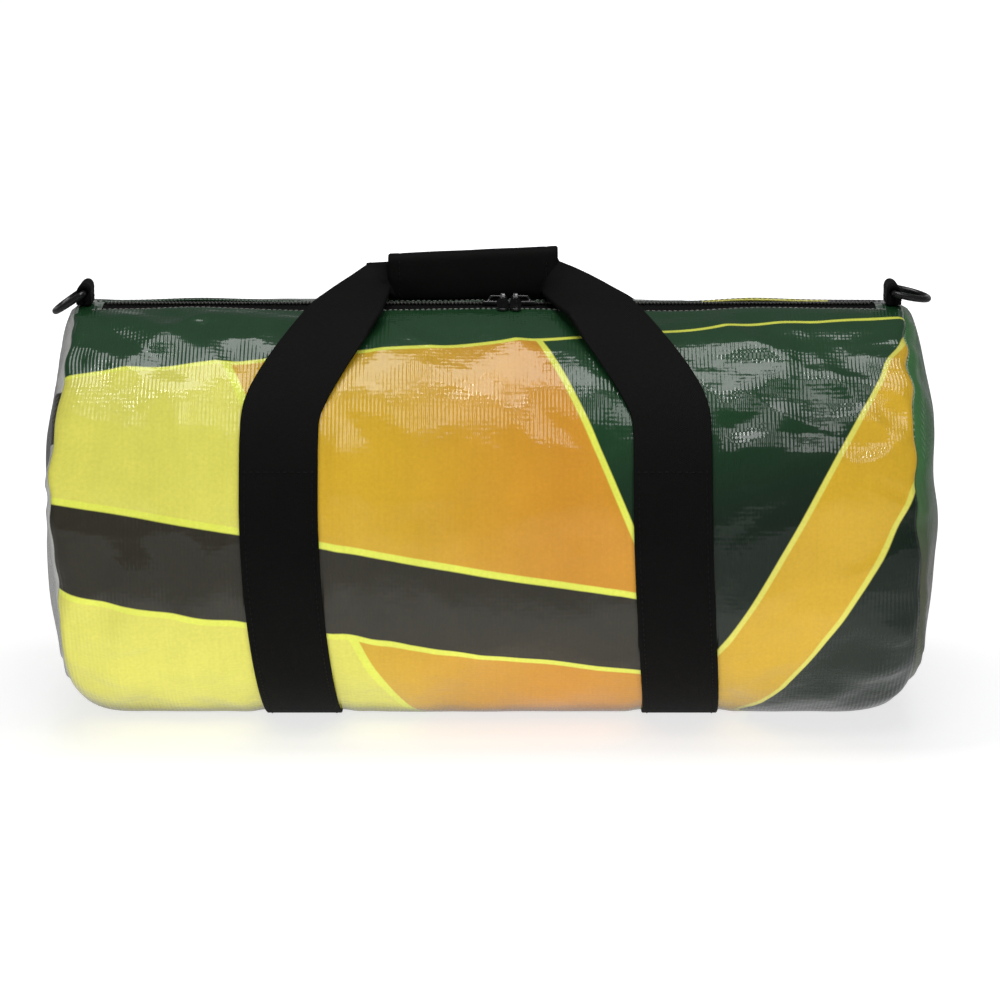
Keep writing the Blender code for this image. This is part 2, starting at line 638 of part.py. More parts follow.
def d_ring(name, side, rest):
    """A ring bent from wire: a straight bar in the tab, two short arms and a round bow."""
    half, radius = RING_WIDTH / 2, RING_WIRE / 2
    path = arc((RING_BEND, -half + RING_BEND), RING_BEND, math.pi, 1.5 * math.pi, ARC_STEPS // 2)
    bow = [math.pi * (i / (2 * ARC_STEPS) - 0.5) for i in range(2 * ARC_STEPS + 1)]
    shoulder = RING_DEPTH - half
    path += [(shoulder + half * math.cos(t), half * math.sin(t)) for t in bow]
    path += arc((RING_BEND, half - RING_BEND), RING_BEND, math.pi / 2, math.pi, ARC_STEPS // 2)
    centre = Vector((side * TAB_X, 0, TAB_BAR_Z))
    points = [Vector((a, b, 0)) for a, b in path]
    turns = [2 * math.pi * i / WIRE_SIDES for i in range(WIRE_SIDES)]
    rings = []
    for i, p in enumerate(points):
        ahead = (points[(i + 1) % len(points)] - points[i - 1]).normalized()
        across = ahead.cross(Vector((0, 0, 1)))
        ring = [p + radius * (across * math.cos(t) + Vector((0, 0, math.sin(t)))) for t in turns]
        rings.append([centre + Vector((side * q.x, q.y, q.z)) for q in ring])
    ring = loft(name, rings, "ring", wrap=True, origin=centre)
    ring.rotation_euler.y = side * rest


def build():
    clear_scene()
    barrel_panel()
    for name, side in (("left", -1), ("right", 1)):
        end_panel("end_panel_" + name, side)
        seam_binding("seam_binding_" + name, side)
        strap_band("strap_band_" + name, STRAP_SHIFT_X + side * STRAP_SPACING / 2)
        ring_tab("ring_tab_" + name, side)
    for name, side in (("front", -1), ("back", 1)):
        zip_tape("zip_tape_" + name, side)
        zip_teeth("zip_teeth_" + name, side)
    eye = BRIDGE_FOOT + SEW_GAP + PULL_KNUCKLE / 2
    for name, head_x, forward in zip(("left", "right"), slider_heads(), (1, -1)):
        slider = zip_slider("zip_slider_" + name, head_x, forward)
        zip_pull("zip_pull_" + name, slider, head_x - forward * eye)
    front = handle("front_handle", 1, FRONT_RUN_Y, WRAPPING)
    handle("back_handle", -1, BACK_RUN_Y, 0)
    grip_wrap(front)
    d_ring("d_ring_left", -1, RING_LEFT_REST)
    d_ring("d_ring_right", 1, RING_RIGHT_REST)


build()
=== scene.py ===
"""Looks of a barrel duffel bag: printed tarpaulin, black webbing, zip, grip wrap and end rings.

Metres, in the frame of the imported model: X along the bag, the front faces -Y, the floor is Z = 0.
Places round the barrel are angles from its crest, positive towards the front.
"""

import math

import bmesh
import bpy
import numpy as np
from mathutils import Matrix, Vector


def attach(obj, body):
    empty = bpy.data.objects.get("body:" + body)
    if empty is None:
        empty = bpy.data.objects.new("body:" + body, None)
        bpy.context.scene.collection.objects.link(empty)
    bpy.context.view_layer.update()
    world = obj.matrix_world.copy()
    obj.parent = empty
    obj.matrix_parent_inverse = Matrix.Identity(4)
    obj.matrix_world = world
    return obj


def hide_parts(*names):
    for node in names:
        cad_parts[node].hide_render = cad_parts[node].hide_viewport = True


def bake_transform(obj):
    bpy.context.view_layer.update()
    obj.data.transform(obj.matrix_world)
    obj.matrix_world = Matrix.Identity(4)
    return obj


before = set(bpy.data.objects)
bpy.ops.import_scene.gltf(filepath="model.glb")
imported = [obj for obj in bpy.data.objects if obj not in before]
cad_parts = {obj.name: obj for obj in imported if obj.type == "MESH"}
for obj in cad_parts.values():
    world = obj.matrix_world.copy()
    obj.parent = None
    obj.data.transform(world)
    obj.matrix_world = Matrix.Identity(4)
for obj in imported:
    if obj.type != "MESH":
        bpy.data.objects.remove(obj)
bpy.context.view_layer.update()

# Sizes of the bag, as in the model
BAG_RADIUS = 0.1375
HALF_SEAM = 0.275
END_BULGE = 0.023
BASE_FLAT = 0.076
END_LIFT = 0.016
END_LIFT_REACH = 0.050
END_LIFT_CURVE = 3.6  # how steeply the base lifts towards the ends
TARP = 0.0012
FLOOR_ROOM = 0.0002
SEW_GAP = 0.0003
HALF_MOUTH = 0.256
FRONT_HEM_Y = 0.0180  # from the middle of the zip to the tarpaulin's edge, on the front and on the back
BACK_HEM_Y = 0.0085
DOME_POWER = 2.2

# Webbing, handles and grip
WEB_WIDTH = 0.050
WEB_THICK = 0.0016
STRAP_SPACING = 0.250
STRAP_SHIFT_X = -0.008
SEWN_ANGLE = math.radians(60)
HINGE_PROUD = 0.00015
HINGE_GAP = 0.0005
STRAP_DRIFT = 0.010
DRIFT_START = math.radians(75)
FOLDED_WIDTH = 0.0235
FOLDED_THICK = 0.0050
FOLD_BEND = 0.0013
RUN_HALF_LENGTH = 0.0593
RUN_SHIFT_X = -0.0026
FRONT_RUN_Y = 0.0165
BACK_RUN_Y = 0.0345
RUN_ROOM = 0.0010
COVER_THICK = 0.0020
FLAP_THICK = 0.0030
FLAP_TAIL = 0.012
GRIP_LENGTH = 0.113
CLOSURE_THICK = 0.0008
CLOSURE_HEIGHT = 0.008
CLOSURE_MARGIN = 0.006
WRAP_CLIMB = 0.0052  # the wrap's top is this much higher at its right end
WRAP_HEM = 0.0080
LEG_PLACES = (  # shares of the way across, round, up, of turning to face out and of folding
    (0.00, 0.00, 0.00, 0.00, 0.00),
    (0.02, 0.12, 0.01, 0.00, 0.00),
    (0.13, 0.24, 0.04, 0.00, 0.00),
    (0.39, 0.45, 0.22, 0.00, 0.00),
    (0.65, 0.67, 0.60, 0.00, 0.12),  # straight from here to the corner at the grip
    (1.00, 1.00, 1.00, 1.00, 1.00),
)
GRIP_CORNERS = {  # the corner and the run of each leg where the grip was gathered askew
    -1: ((0.92, 0.97, 1.00, 0.55, 1.00), (1.15, 1.00, 0.80, 1.00, 1.00)),
    1: ((1.12, 0.98, 1.05, 0.80, 1.00), (1.24, 1.00, 1.00, 1.00, 1.00)),
}
LEG_LEAD = 0.12  # share of the way round over which the leg's lean begins below the fold line

# Zip
TAPE_WIDTH = 0.0205
TAPE_THICK = 0.0008
TAPE_HALF_GAP = 0.0015
TAPE_END_LAP = 0.006
TOOTH_HEIGHT = 0.0018
COIL_PITCH = 0.0024
TEETH_END_GAP = 0.004
SLIDER_HEADS = (0.01215, 0.01465)
SHOULDER_LENGTH = 0.0105
ROW_PARTING = 0.0028
EASED_EDGE = 0.00075  # round of the edges of the sliders and pulls

# Rings
TAB_X = 0.2675
TAB_WIDTH = 0.025
TAB_THICK = 0.0024
RING_WIRE = 0.0044
RING_WIDTH = 0.0330
RING_DEPTH = 0.0240
RING_BEND = 0.0035
RING_SLACK = 0.0003
TAB_BAR_HEIGHT = 0.0078
TAB_LOOP_RISE = 1.35  # the loop stands this much taller than it is round
TAB_LEAN = 0.0012
RING_REST = {-1: math.radians(34), 1: math.radians(12)}

# Places that follow
BASE_Z = WEB_THICK + SEW_GAP
CENTRE_Z = BASE_Z + math.sqrt(BAG_RADIUS**2 - (BASE_FLAT / 2) ** 2)
CREST_Z = CENTRE_Z + BAG_RADIUS
WEB_LIFT = SEW_GAP + WEB_THICK / 2
FRONT_HEM = math.asin(FRONT_HEM_Y / BAG_RADIUS)
BACK_HEM = math.asin(BACK_HEM_Y / BAG_RADIUS)
FLAT_ANGLE = math.pi - math.asin(BASE_FLAT / 2 / BAG_RADIUS)
RUN_X = STRAP_SHIFT_X + RUN_SHIFT_X
GRIP_ENDS = (RUN_X - GRIP_LENGTH / 2, RUN_X + GRIP_LENGTH / 2)
TAPE_TOP_Z = CREST_Z - TARP - SEW_GAP
TEETH_BASE_Z = TAPE_TOP_Z + SEW_GAP
WRAPPING = SEW_GAP + COVER_THICK
TAB_BAR_Z = CREST_Z + SEW_GAP + TAB_BAR_HEIGHT
STRAPS_X = tuple(STRAP_SHIFT_X + side * STRAP_SPACING / 2 for side in (-1, 1))
FULL_TURN = 2 * math.pi
SIDE_NAMES = {-1: "left", 1: "right"}
ROW_NAMES = {-1: "front", 1: "back"}

# How the filled bag is creased
SEAM_ROLL = 0.0045  # the tarpaulin rolls in to the end seam over this length
SEAM_DEPTH = 0.0030
SEAM_PULL = 0.040  # how far from a seam its wandering is felt
SEAM_BITE = 0.0009  # and how far it bites in and out between puckers
# Where each end seam has wandered outwards along the bag, at angles in degrees from the crest
SEAM_WANDER = {
    -1: ((0, -0.001), (26, -0.0045), (48, -0.0005), (62, 0.003), (72, 0.0055), (84, 0.003), (99, 0.0), (126, 0.002),
         (150, 0.002), (180, 0.0)),
    1: ((0, 0.0), (26, -0.0050), (51, -0.0034), (82, -0.0030), (94, 0.0010), (119, 0.0028),
        (145, 0.0035), (180, 0.0)),
}
END_DOME = {-1: 0.0165, 1: 0.0168}
END_FOLD = 0.0016  # height of an end's tallest pucker
END_WAVE = 0.0005  # height of its broad waves
END_SINK = 0.0024  # how far its middle sinks back
END_PUFF = {-1: 0.0020, 1: 0.0052}  # how far an end swells straight out of its seam
FOLDS = 90
FOLD_SLOPE = 0.17
BROAD_WAVES = 26
BROAD_HEIGHT = 0.0014
ZIP_WAVE = 0.0006  # waves of the sheet beside the zip
SOLE_SAG = 0.0012  # how far the base bellies out between the straps
OUTER_SWELL = 0.0012  # how far the barrel swells outside the straps, and between them
MIDDLE_SWELL = 0.0014
STRAP_BITE = 0.0002  # how far the straps press in
HEM_SINK = 0.0004
RELIEF = 0.0036  # no crease stands higher or sinks deeper than this
PUCKERS = 34
PUCKER_HEIGHT = 0.0022
LOOSE_CREASES = 60
CREASE_SEED = 11
# Creases that show: from (x, angle in degrees) to (x, angle in degrees), height, width
CREASES = (
    (-0.184, 13, -0.243, 44, 0.0030, 0.0100),
    (-0.214, 47, -0.256, 80, 0.0014, 0.0080),
    (-0.176, 14, -0.172, 40, 0.0014, 0.0045),
    (-0.166, 18, -0.163, 44, 0.0012, 0.0040),
    (-0.196, 48, -0.186, 70, 0.0012, 0.0055),
    (0.064, 48, 0.086, 88, 0.0018, 0.0060),
    (0.036, 58, 0.074, 66, 0.0012, 0.0050),
    (0.022, 46, 0.030, 66, 0.0012, 0.0050),
    (0.150, 18, 0.212, 40, 0.0020, 0.0080),
    (0.158, 44, 0.222, 58, 0.0016, 0.0065),
    (0.200, 22, 0.190, 56, 0.0014, 0.0060),
    (0.208, 30, 0.266, 62, 0.0020, 0.0070),
    (0.232, 68, 0.268, 58, 0.0020, 0.0050),
    (0.226, 98, 0.270, 84, 0.0016, 0.0055),
    (-0.070, 16, -0.030, 30, 0.0012, 0.0070),
    (0.010, 14, 0.030, 34, 0.0010, 0.0060),
    (-0.215, 118, -0.262, 128, 0.0013, 0.0060),
    (0.182, 126, 0.150, 146, 0.0014, 0.0060),
    (0.235, 120, 0.268, 134, 0.0016, 0.0055),
)

# Surface of the tarpaulin and its print
SHEET_RELIEF = 0.0014
SCRIM_RELIEF = 0.00026
PRINT_EDGE = 0.0007  # half the softness of a printed edge

# Colours, linear
LEMON = (0.660, 0.630, 0.105)
AMBER = (0.590, 0.360, 0.022)
ORANGE = (0.580, 0.262, 0.022)
GREEN = (0.0085, 0.0480, 0.0150)
NIGHT_GREEN = (0.0050, 0.0120, 0.0065)
CHARCOAL = (0.0250, 0.0225, 0.0140)
LIME = (0.700, 0.740, 0.090)
PALE_GREY = (0.46, 0.46, 0.44)
OLIVE = (0.062, 0.072, 0.042)
END_GREEN = (0.044, 0.140, 0.046)
BLACK_WEB = (0.0038, 0.0038, 0.0036)
BLACK_CLOTH = (0.0040, 0.0040, 0.0038)
BLACK_METAL = (0.0080, 0.0080, 0.0080)
# Painted glints: the hem thread is lightened to grey to stand in for the glints along its dark stitches.
HEM_GLINT_GREY = (0.2400, 0.2400, 0.2300)
BLACK_THREAD = (0.0050, 0.0050, 0.0048)

# Lamps
LAMPS = (  # name, place, aim, size, watts, whether the gloss shows it
    ("overhead softbox", (0.0, 0.02, 1.62), (0, 0, 0.2), (1.15, 0.56), 9, True),
    ("small softbox", (0.30, -0.74, 1.56), (0.1, 0, 0.2), (0.80, 0.45), 4, True),
    ("spark", (-0.25, -0.30, 1.60), (0, 0, 0.2), (0.14, 0.14), 1.6, True),
    ("left fill", (-1.6, -1.9, 0.24), (0, 0, 0.10), (0.9, 0.6), 13, False),
    ("right fill", (1.6, -1.9, 0.24), (0, 0, 0.10), (0.9, 0.6), 13, False),
    ("back fill", (0.0, 2.4, 0.50), (0, 0, 0.14), (1.8, 0.7), 11, False),
    ("low reflector", (0.0, -1.05, 0.06), (0, -0.1, 0.10), (1.5, 0.5), 5, False),
    ("floor card", (0.0, -0.47, 0.003), (0, -0.47, 1), (1.4, 0.8), 2.8, False),
)


# Small tools


def smoothstep(low, high, value):
    t = np.clip((np.asarray(value, float) - low) / (high - low), 0, 1)
    return t * t * (3 - 2 * t)


def soft_min(a, b, reach):
    """The smaller of two lengths, rounded over reach where they meet."""
    h = np.clip(0.5 + 0.5 * (b - a) / reach, 0, 1)
    return b + (a - b) * h - reach * h * (1 - h)


def new_piece(name, points, faces, finish, uv=None, smooth=True):
    """A mesh object at the origin. uv gives a place in the pattern for each corner of each face."""
    mesh = bpy.data.meshes.new(name)
    mesh.from_pydata([tuple(map(float, p)) for p in points], [], [list(map(int, f)) for f in faces])
    if uv is not None:
        layer = mesh.uv_layers.new(name="pattern")
        layer.data.foreach_set("uv", np.asarray(uv, np.float32).ravel())
    if smooth:
        mesh.shade_smooth()
    mesh.materials.append(finish)
    obj = bpy.data.objects.new(name, mesh)
    bpy.context.scene.collection.objects.link(obj)
    return obj


def patterned_piece(name, points, faces, finish, places):
    """A piece whose place in the pattern is given at each point."""
    place = np.vstack(places)
    return new_piece(name, points, faces, finish, [place[v] for f in faces for v in f])


def way_along(path):
    """Distance gone at each point of a path."""
    return np.concatenate([[0], np.cumsum(np.linalg.norm(np.diff(path, axis=0), axis=1))])


def rounded_edge(inset, half, least):
    """Share of its thickness that cloth keeps at an inset from its round edge; least is the smallest share squared."""
    return np.sqrt(np.clip(1 - np.clip(1 - inset / half, 0, 1) ** 2, least, 1))


def settle(obj):
    """Makes what an object's modifiers give its plain mesh."""
    shown = obj.evaluated_get(bpy.context.evaluated_depsgraph_get())
    mesh = bpy.data.meshes.new_from_object(shown)
    obj.modifiers.clear()
    obj.data = mesh
    return obj


def add_wall(obj, thickness):
    """Gives an open sheet its thickness, inwards from the drawn face."""
    wall = obj.modifiers.new("wall", "SOLIDIFY")
    wall.thickness = thickness
    wall.offset = -1
    wall.use_even_offset = False
    return settle(obj)


def tube_mesh(rings, closed_ends=True, loop=False):
    """Points and faces through rings of equal count. With loop, the last ring joins the first."""
    count = len(rings[0])
    points = np.concatenate([np.asarray(r, float) for r in rings])
    faces = []
    last = len(rings) if loop else len(rings) - 1
    for i in range(last):
        here, there = i * count, (i + 1) % len(rings) * count
        for j in range(count):
            k = (j + 1) % count
            faces.append((here + j, here + k, there + k, there + j))
    if closed_ends and not loop:
        faces.append(tuple(range(count))[::-1])
        faces.append(tuple((len(rings) - 1) * count + j for j in range(count)))
    return points, faces


def face_outwards(obj):
    shape = bmesh.new()
    shape.from_mesh(obj.data)
    bmesh.ops.remove_doubles(shape, verts=shape.verts, dist=1e-7)
    bmesh.ops.recalc_face_normals(shape, faces=shape.faces)
    shape.to_mesh(obj.data)
    shape.free()
    return obj


# Shader tools


def add_node(tree, kind, settings=None, **inputs):
    """A shader or geometry node. Inputs are numbers, colours or other nodes' sockets, by name."""
    made = tree.nodes.new(kind)
    for key, value in (settings or {}).items():
        setattr(made, key, value)
    for key, value in inputs.items():
        feed(tree, made.inputs[key.replace("_", " ")], value)
    return made


def feed(tree, socket, value):
    if isinstance(value, bpy.types.NodeSocket):
        tree.links.new(value, socket)
    elif isinstance(value, tuple) and len(value) == 3 and socket.type == "RGBA":
        socket.default_value = (*value, 1.0)
    else:
        socket.default_value = value


def calc(tree, operation, *values, clamp=False):
    made = tree.nodes.new("ShaderNodeMath")
    made.operation = operation
    made.use_clamp = clamp
    for socket, value in zip(made.inputs, values):
        feed(tree, socket, value)
    return made.outputs[0]


def ramp_between(tree, value, low, high):
    """0 below low and 1 above high, smoothly."""
    made = tree.nodes.new("ShaderNodeMapRange")
    made.interpolation_type = "SMOOTHSTEP"
    for key, number in zip(("Value", "From Min", "From Max"), (value, low, high)):
        feed(tree, made.inputs[key], number)
    return made.outputs["Result"]


def mix_colour(tree, share, a, b, blend="MIX"):
    made = tree.nodes.new("ShaderNodeMix")
    made.data_type = "RGBA"
    made.blend_type = blend
    colours = [s for s in made.inputs if s.type == "RGBA"]
    feed(tree, made.inputs[0], share)
    feed(tree, colours[0], a)
    feed(tree, colours[1], b)
    return next(s for s in made.outputs if s.type == "RGBA")


def parts_of(tree, vector):
    return add_node(tree, "ShaderNodeSeparateXYZ", Vector=vector).outputs


def scaled(tree, value, by, plus):
    return calc(tree, "MULTIPLY_ADD", value, by, plus)


def past_edge(tree, value, limit):
    """1 past a printed edge, 0 before it."""
    return ramp_between(tree, value, limit - PRINT_EDGE, limit + PRINT_EDGE)


def printed_band(tree, value, low, high):
    return calc(tree, "SUBTRACT", past_edge(tree, value, low), past_edge(tree, value, high))


def blurred_noise(tree, vector, scale, detail=2.0, roughness=0.5):
    made = add_node(tree, "ShaderNodeTexNoise", Scale=scale, Detail=detail, Roughness=roughness)
    tree.links.new(vector, made.inputs["Vector"])
    return made.outputs["Fac"]


def new_group(name, inputs, outputs):
    """A shader node group with named float, vector or colour sockets."""
    kinds = {"value": "NodeSocketFloat", "place": "NodeSocketVector", "colour": "NodeSocketColor"}
    tree = bpy.data.node_groups.new(name, "ShaderNodeTree")
    for label, kind, default in inputs:
        socket = tree.interface.new_socket(label, in_out="INPUT", socket_type=kinds[kind])
        if default is not None:
            socket.default_value = default
    for label, kind in outputs:
        tree.interface.new_socket(label, in_out="OUTPUT", socket_type=kinds[kind])
    return tree, tree.nodes.new("NodeGroupInput").outputs, tree.nodes.new("NodeGroupOutput").inputs


def use_group(tree, group, **inputs):
    made = tree.nodes.new("ShaderNodeGroup")
    made.node_tree = group
    for key, value in inputs.items():
        feed(tree, made.inputs[key.replace("_", " ")], value)
    return made.outputs


def new_finish(name, roughness, specular=0.5):
    """A material with its Principled shader, whose plain values are set on the shader itself."""
    material = bpy.data.materials.new(name)
    material.use_nodes = True
    shader = material.node_tree.nodes["Principled BSDF"]
    shader.inputs["Roughness"].default_value = roughness
    shader.inputs["Specular IOR Level"].default_value = specular
    return material, material.node_tree, shader


def tint(tree, shader, colour, tone):
    """The base colour, lighter and darker by tone."""
    grey = add_node(tree, "ShaderNodeCombineXYZ", X=tone, Y=tone, Z=tone).outputs["Vector"]
    feed(tree, shader.inputs["Base Color"], mix_colour(tree, 1.0, colour, grey, "MULTIPLY"))


def bump_into(tree, socket, height, distance, under=None):
    bump = add_node(tree, "ShaderNodeBump", Strength=1.0, Distance=distance, Height=height)
    if under is not None:
        tree.links.new(under, bump.inputs["Normal"])
    tree.links.new(bump.outputs["Normal"], socket)
    return bump.outputs["Normal"]


# Shared effects


def scrim_group():
    """The woven scrim that shows through coated tarpaulin: fine ribs round the bag and finer ones along it."""
    tree, given, out = new_group(
        "tarpaulin scrim",
        [("Place", "place", None), ("Rib pitch", "value", 0.0025), ("Cross pitch", "value", 0.0031)],
        [("Height", "value"), ("Streak", "value")],
    )
    parts = parts_of(tree, given["Place"])
    wander = blurred_noise(tree, given["Place"], 55.0, 1.0)
    shift = calc(tree, "MULTIPLY", calc(tree, "SUBTRACT", wander, 0.5), 1.4)

    def ribs(along, pitch):
        turns = calc(tree, "MULTIPLY", calc(tree, "DIVIDE", along, pitch), FULL_TURN)
        wave = calc(tree, "SINE", calc(tree, "ADD", turns, shift))
        return scaled(tree, wave, 0.5, 0.5)

    down = ribs(parts["X"], given["Rib pitch"])
    along = ribs(parts["Y"], given["Cross pitch"])
    patch = ramp_between(tree, blurred_noise(tree, given["Place"], 26.0, 2.0), 0.30, 0.72)
    down_share = scaled(tree, patch, 0.75, 0.35)
    height = calc(tree, "MULTIPLY", down, down_share)
    height = calc(tree, "ADD", height, calc(tree, "MULTIPLY", along, 0.12))
    feed(tree, out["Height"], height)
    stretched = add_node(tree, "ShaderNodeMapping", {"vector_type": "TEXTURE"}, Vector=given["Place"])
    stretched.inputs["Scale"].default_value = (0.0022, 0.09, 1.0)
    feed(tree, out["Streak"], blurred_noise(tree, stretched.outputs["Vector"], 1.0, 2.0))
    return tree


def weave_group():
    """Plain weave of webbing and tape: ribs across, and the warp threads between them."""
    tree, given, out = new_group(
        "webbing weave",
        [("Place", "place", None), ("Rib pitch", "value", 0.0013), ("Thread pitch", "value", 0.0021)],
        [("Height", "value"), ("Fleck", "value")],
    )
    parts = parts_of(tree, given["Place"])

    def turns(along, pitch):
        return calc(tree, "MULTIPLY", calc(tree, "DIVIDE", along, pitch), FULL_TURN)

    thread = calc(tree, "SINE", turns(parts["X"], given["Thread pitch"]))
    side = calc(tree, "SIGN", thread)
    ribs = calc(tree, "SINE", calc(tree, "ADD", turns(parts["Y"], given["Rib pitch"]),
                                   calc(tree, "MULTIPLY", side, math.pi / 2)))
    rounded = calc(tree, "SQRT", calc(tree, "ABSOLUTE", thread))
    height = calc(tree, "MULTIPLY", rounded, scaled(tree, ribs, 0.35, 0.65))
    feed(tree, out["Height"], height)
    feed(tree, out["Fleck"], blurred_noise(tree, given["Place"], 900.0, 2.0))
    return tree


def scuff_group():
    """Broad, faint change of tone from handling: cleaner and duller places."""
    tree, given, out = new_group(
        "handling tone",
        [("Place", "place", None), ("Size", "value", 14.0)],
        [("Tone", "value"), ("Fine", "value")],
    )
    broad = add_node(tree, "ShaderNodeTexNoise", Detail=4.0, Roughness=0.6)
    feed(tree, broad.inputs["Vector"], given["Place"])
    feed(tree, broad.inputs["Scale"], given["Size"])
    feed(tree, out["Tone"], broad.outputs["Fac"])
    feed(tree, out["Fine"], blurred_noise(tree, given["Place"], 420.0, 3.0, 0.65))
    return tree


SCRIM = scrim_group()
WEAVE = weave_group()
SCUFF = scuff_group()


# Finishes


def print_colour(tree, place):
    """The printed design: broad slanted bands of yellow, amber, green and charcoal, thinly outlined."""
    parts = parts_of(tree, place)
    x, s = parts["X"], parts["Y"]

    def lean(slope):
        """Distance along the bag, sheared so that a constant value is a slanted line."""
        return scaled(tree, calc(tree, "SUBTRACT", s, 0.20), slope, x)

    def over(share, colour, under):
        return mix_colour(tree, share, under, colour)

    forward, falling = lean(-0.42), lean(0.55)
    level = scaled(tree, x, -0.17, s)
    warm = ramp_between(tree, x, -0.09, 0.06)
    amber = mix_colour(tree, warm, AMBER, ORANGE)
    dark = ramp_between(tree, scaled(tree, x, 0.25, s), 0.12, 0.26)
    green = mix_colour(tree, dark, GREEN, NIGHT_GREEN)
    colour = over(past_edge(tree, forward, -0.118), amber, LEMON)
    colour = over(printed_band(tree, forward, -0.124, -0.118), LIME, colour)
    stripe = printed_band(tree, level, 0.232, 0.292)
    rim = printed_band(tree, level, 0.2275, 0.2965)
    colour = over(rim, LIME, colour)
    colour = over(stripe, CHARCOAL, colour)
    colour = over(past_edge(tree, forward, 0.088), LIME, colour)
    colour = over(past_edge(tree, forward, 0.0925), green, colour)
    colour = over(printed_band(tree, falling, 0.196, 0.262), LEMON, colour)
    colour = over(printed_band(tree, falling, 0.200, 0.258), AMBER, colour)
    top = scaled(tree, x, 0.115, s)
    colour = over(calc(tree, "SUBTRACT", 1.0, past_edge(tree, top, 0.0675)), LIME, colour)
    colour = over(calc(tree, "SUBTRACT", 1.0, past_edge(tree, top, 0.0645)), GREEN, colour)
    back = mix_colour(tree, printed_band(tree, x, 0.142, 0.226), GREEN, LEMON)
    back = over(past_edge(tree, x, 0.226), NIGHT_GREEN, back)
    return over(past_edge(tree, s, FULL_TURN * BAG_RADIUS - 0.052), back, colour)


def tarpaulin_finish(name, colour_of):
    """Print under a clear glossy coating. The ribs of the scrim show in the coating's gloss."""
    material, tree, shader = new_finish(name, 0.55, specular=0.1)
    shader.inputs["Coat Weight"].default_value = 1.0
    place = add_node(tree, "ShaderNodeUVMap", {"uv_map": "pattern"}).outputs["UV"]
    scrim = use_group(tree, SCRIM, Place=place)
    scuff = use_group(tree, SCUFF, Place=place, Size=16.0)
    colour = colour_of(tree, place)
    tone = scaled(tree, scuff["Tone"], 0.34, 0.83)
    tone = calc(tree, "MULTIPLY", tone, scaled(tree, scrim["Streak"], 0.08, 0.96))
    tone = calc(tree, "MULTIPLY", tone, scaled(tree, scuff["Fine"], 0.24, 0.88))
    tint(tree, shader, colour, tone)
    feed(tree, shader.inputs["Coat Roughness"], scaled(tree, scuff["Tone"], 0.12, 0.08))
    broad = blurred_noise(tree, place, 42.0, 3.0, 0.55)
    low = bump_into(tree, shader.inputs["Normal"], broad, SHEET_RELIEF)
    bump_into(tree, shader.inputs["Coat Normal"], scrim["Height"], SCRIM_RELIEF, under=low)
    return material


def left_end_colour(tree, place):
    """Pale grey, crossed by one slanted band."""
    parts = parts_of(tree, place)
    slanted = scaled(tree, parts["X"], 0.5, parts["Y"])
    return mix_colour(tree, printed_band(tree, slanted, 0.008, 0.048), PALE_GREY, CHARCOAL)


def right_end_colour(tree, place):
    """Green above, running into olive below."""
    parts = parts_of(tree, place)
    return mix_colour(tree, ramp_between(tree, parts["Y"], -0.02, 0.07), OLIVE, END_GREEN)


def webbing_finish(name, colour, rib, thread, depth, roughness):
    material, tree, shader = new_finish(name, roughness, specular=0.10)
    place = add_node(tree, "ShaderNodeUVMap", {"uv_map": "pattern"}).outputs["UV"]
    weave = use_group(tree, WEAVE, Place=place, Rib_pitch=rib, Thread_pitch=thread)
    scuff = use_group(tree, SCUFF, Place=place, Size=30.0)
    # Painted shade: the hollows of the weave are painted darker than its raised threads, in step with its bump; the
    # scuff and fleck tones are random.
    light = scaled(tree, weave["Height"], 0.55, 0.60)
    light = calc(tree, "MULTIPLY", light, scaled(tree, scuff["Tone"], 0.5, 0.75))
    light = calc(tree, "MULTIPLY", light, scaled(tree, weave["Fleck"], 0.5, 0.75))
    tint(tree, shader, colour, light)
    feed(tree, shader.inputs["Roughness"], scaled(tree, scuff["Fine"], 0.2, roughness - 0.1))
    bump_into(tree, shader.inputs["Normal"], weave["Height"], depth)
    return material


def cast_finish(name, colour, roughness, gloss=0.0):
    """Black on small hard fittings: faint unevenness and finger marks."""
    material, tree, shader = new_finish(name, roughness, 0.5 + gloss / 2)
    shader.inputs["Coat Weight"].default_value = gloss
    shader.inputs["Coat Roughness"].default_value = 0.08
    place = add_node(tree, "ShaderNodeTexCoord").outputs["Object"]
    scuff = use_group(tree, SCUFF, Place=place, Size=220.0)
    light = scaled(tree, scuff["Tone"], 0.7, 0.65)
    tint(tree, shader, colour, light)
    feed(tree, shader.inputs["Roughness"], scaled(tree, scuff["Tone"], 0.24, roughness - 0.12))
    bump_into(tree, shader.inputs["Normal"], scuff["Fine"], 0.00004)
    return material


def thread_finish(name, colour, roughness, specular):
    material, tree, shader = new_finish(name, roughness, specular)
    place = add_node(tree, "ShaderNodeTexCoord").outputs["Object"]
    twist = add_node(tree, "ShaderNodeTexWave", {"wave_type": "BANDS", "bands_direction": "DIAGONAL"},
                     Scale=900.0, Distortion=0.6)
    tree.links.new(place, twist.inputs["Vector"])
    # Painted shade: the grooves of the twist are painted darker than its raised plies, in step with its bump.
    feed(tree, shader.inputs["Base Color"],
         mix_colour(tree, twist.outputs["Fac"], tuple(0.6 * c for c in colour), colour))
    bump_into(tree, shader.inputs["Normal"], twist.outputs["Fac"], 0.00006)
    return material


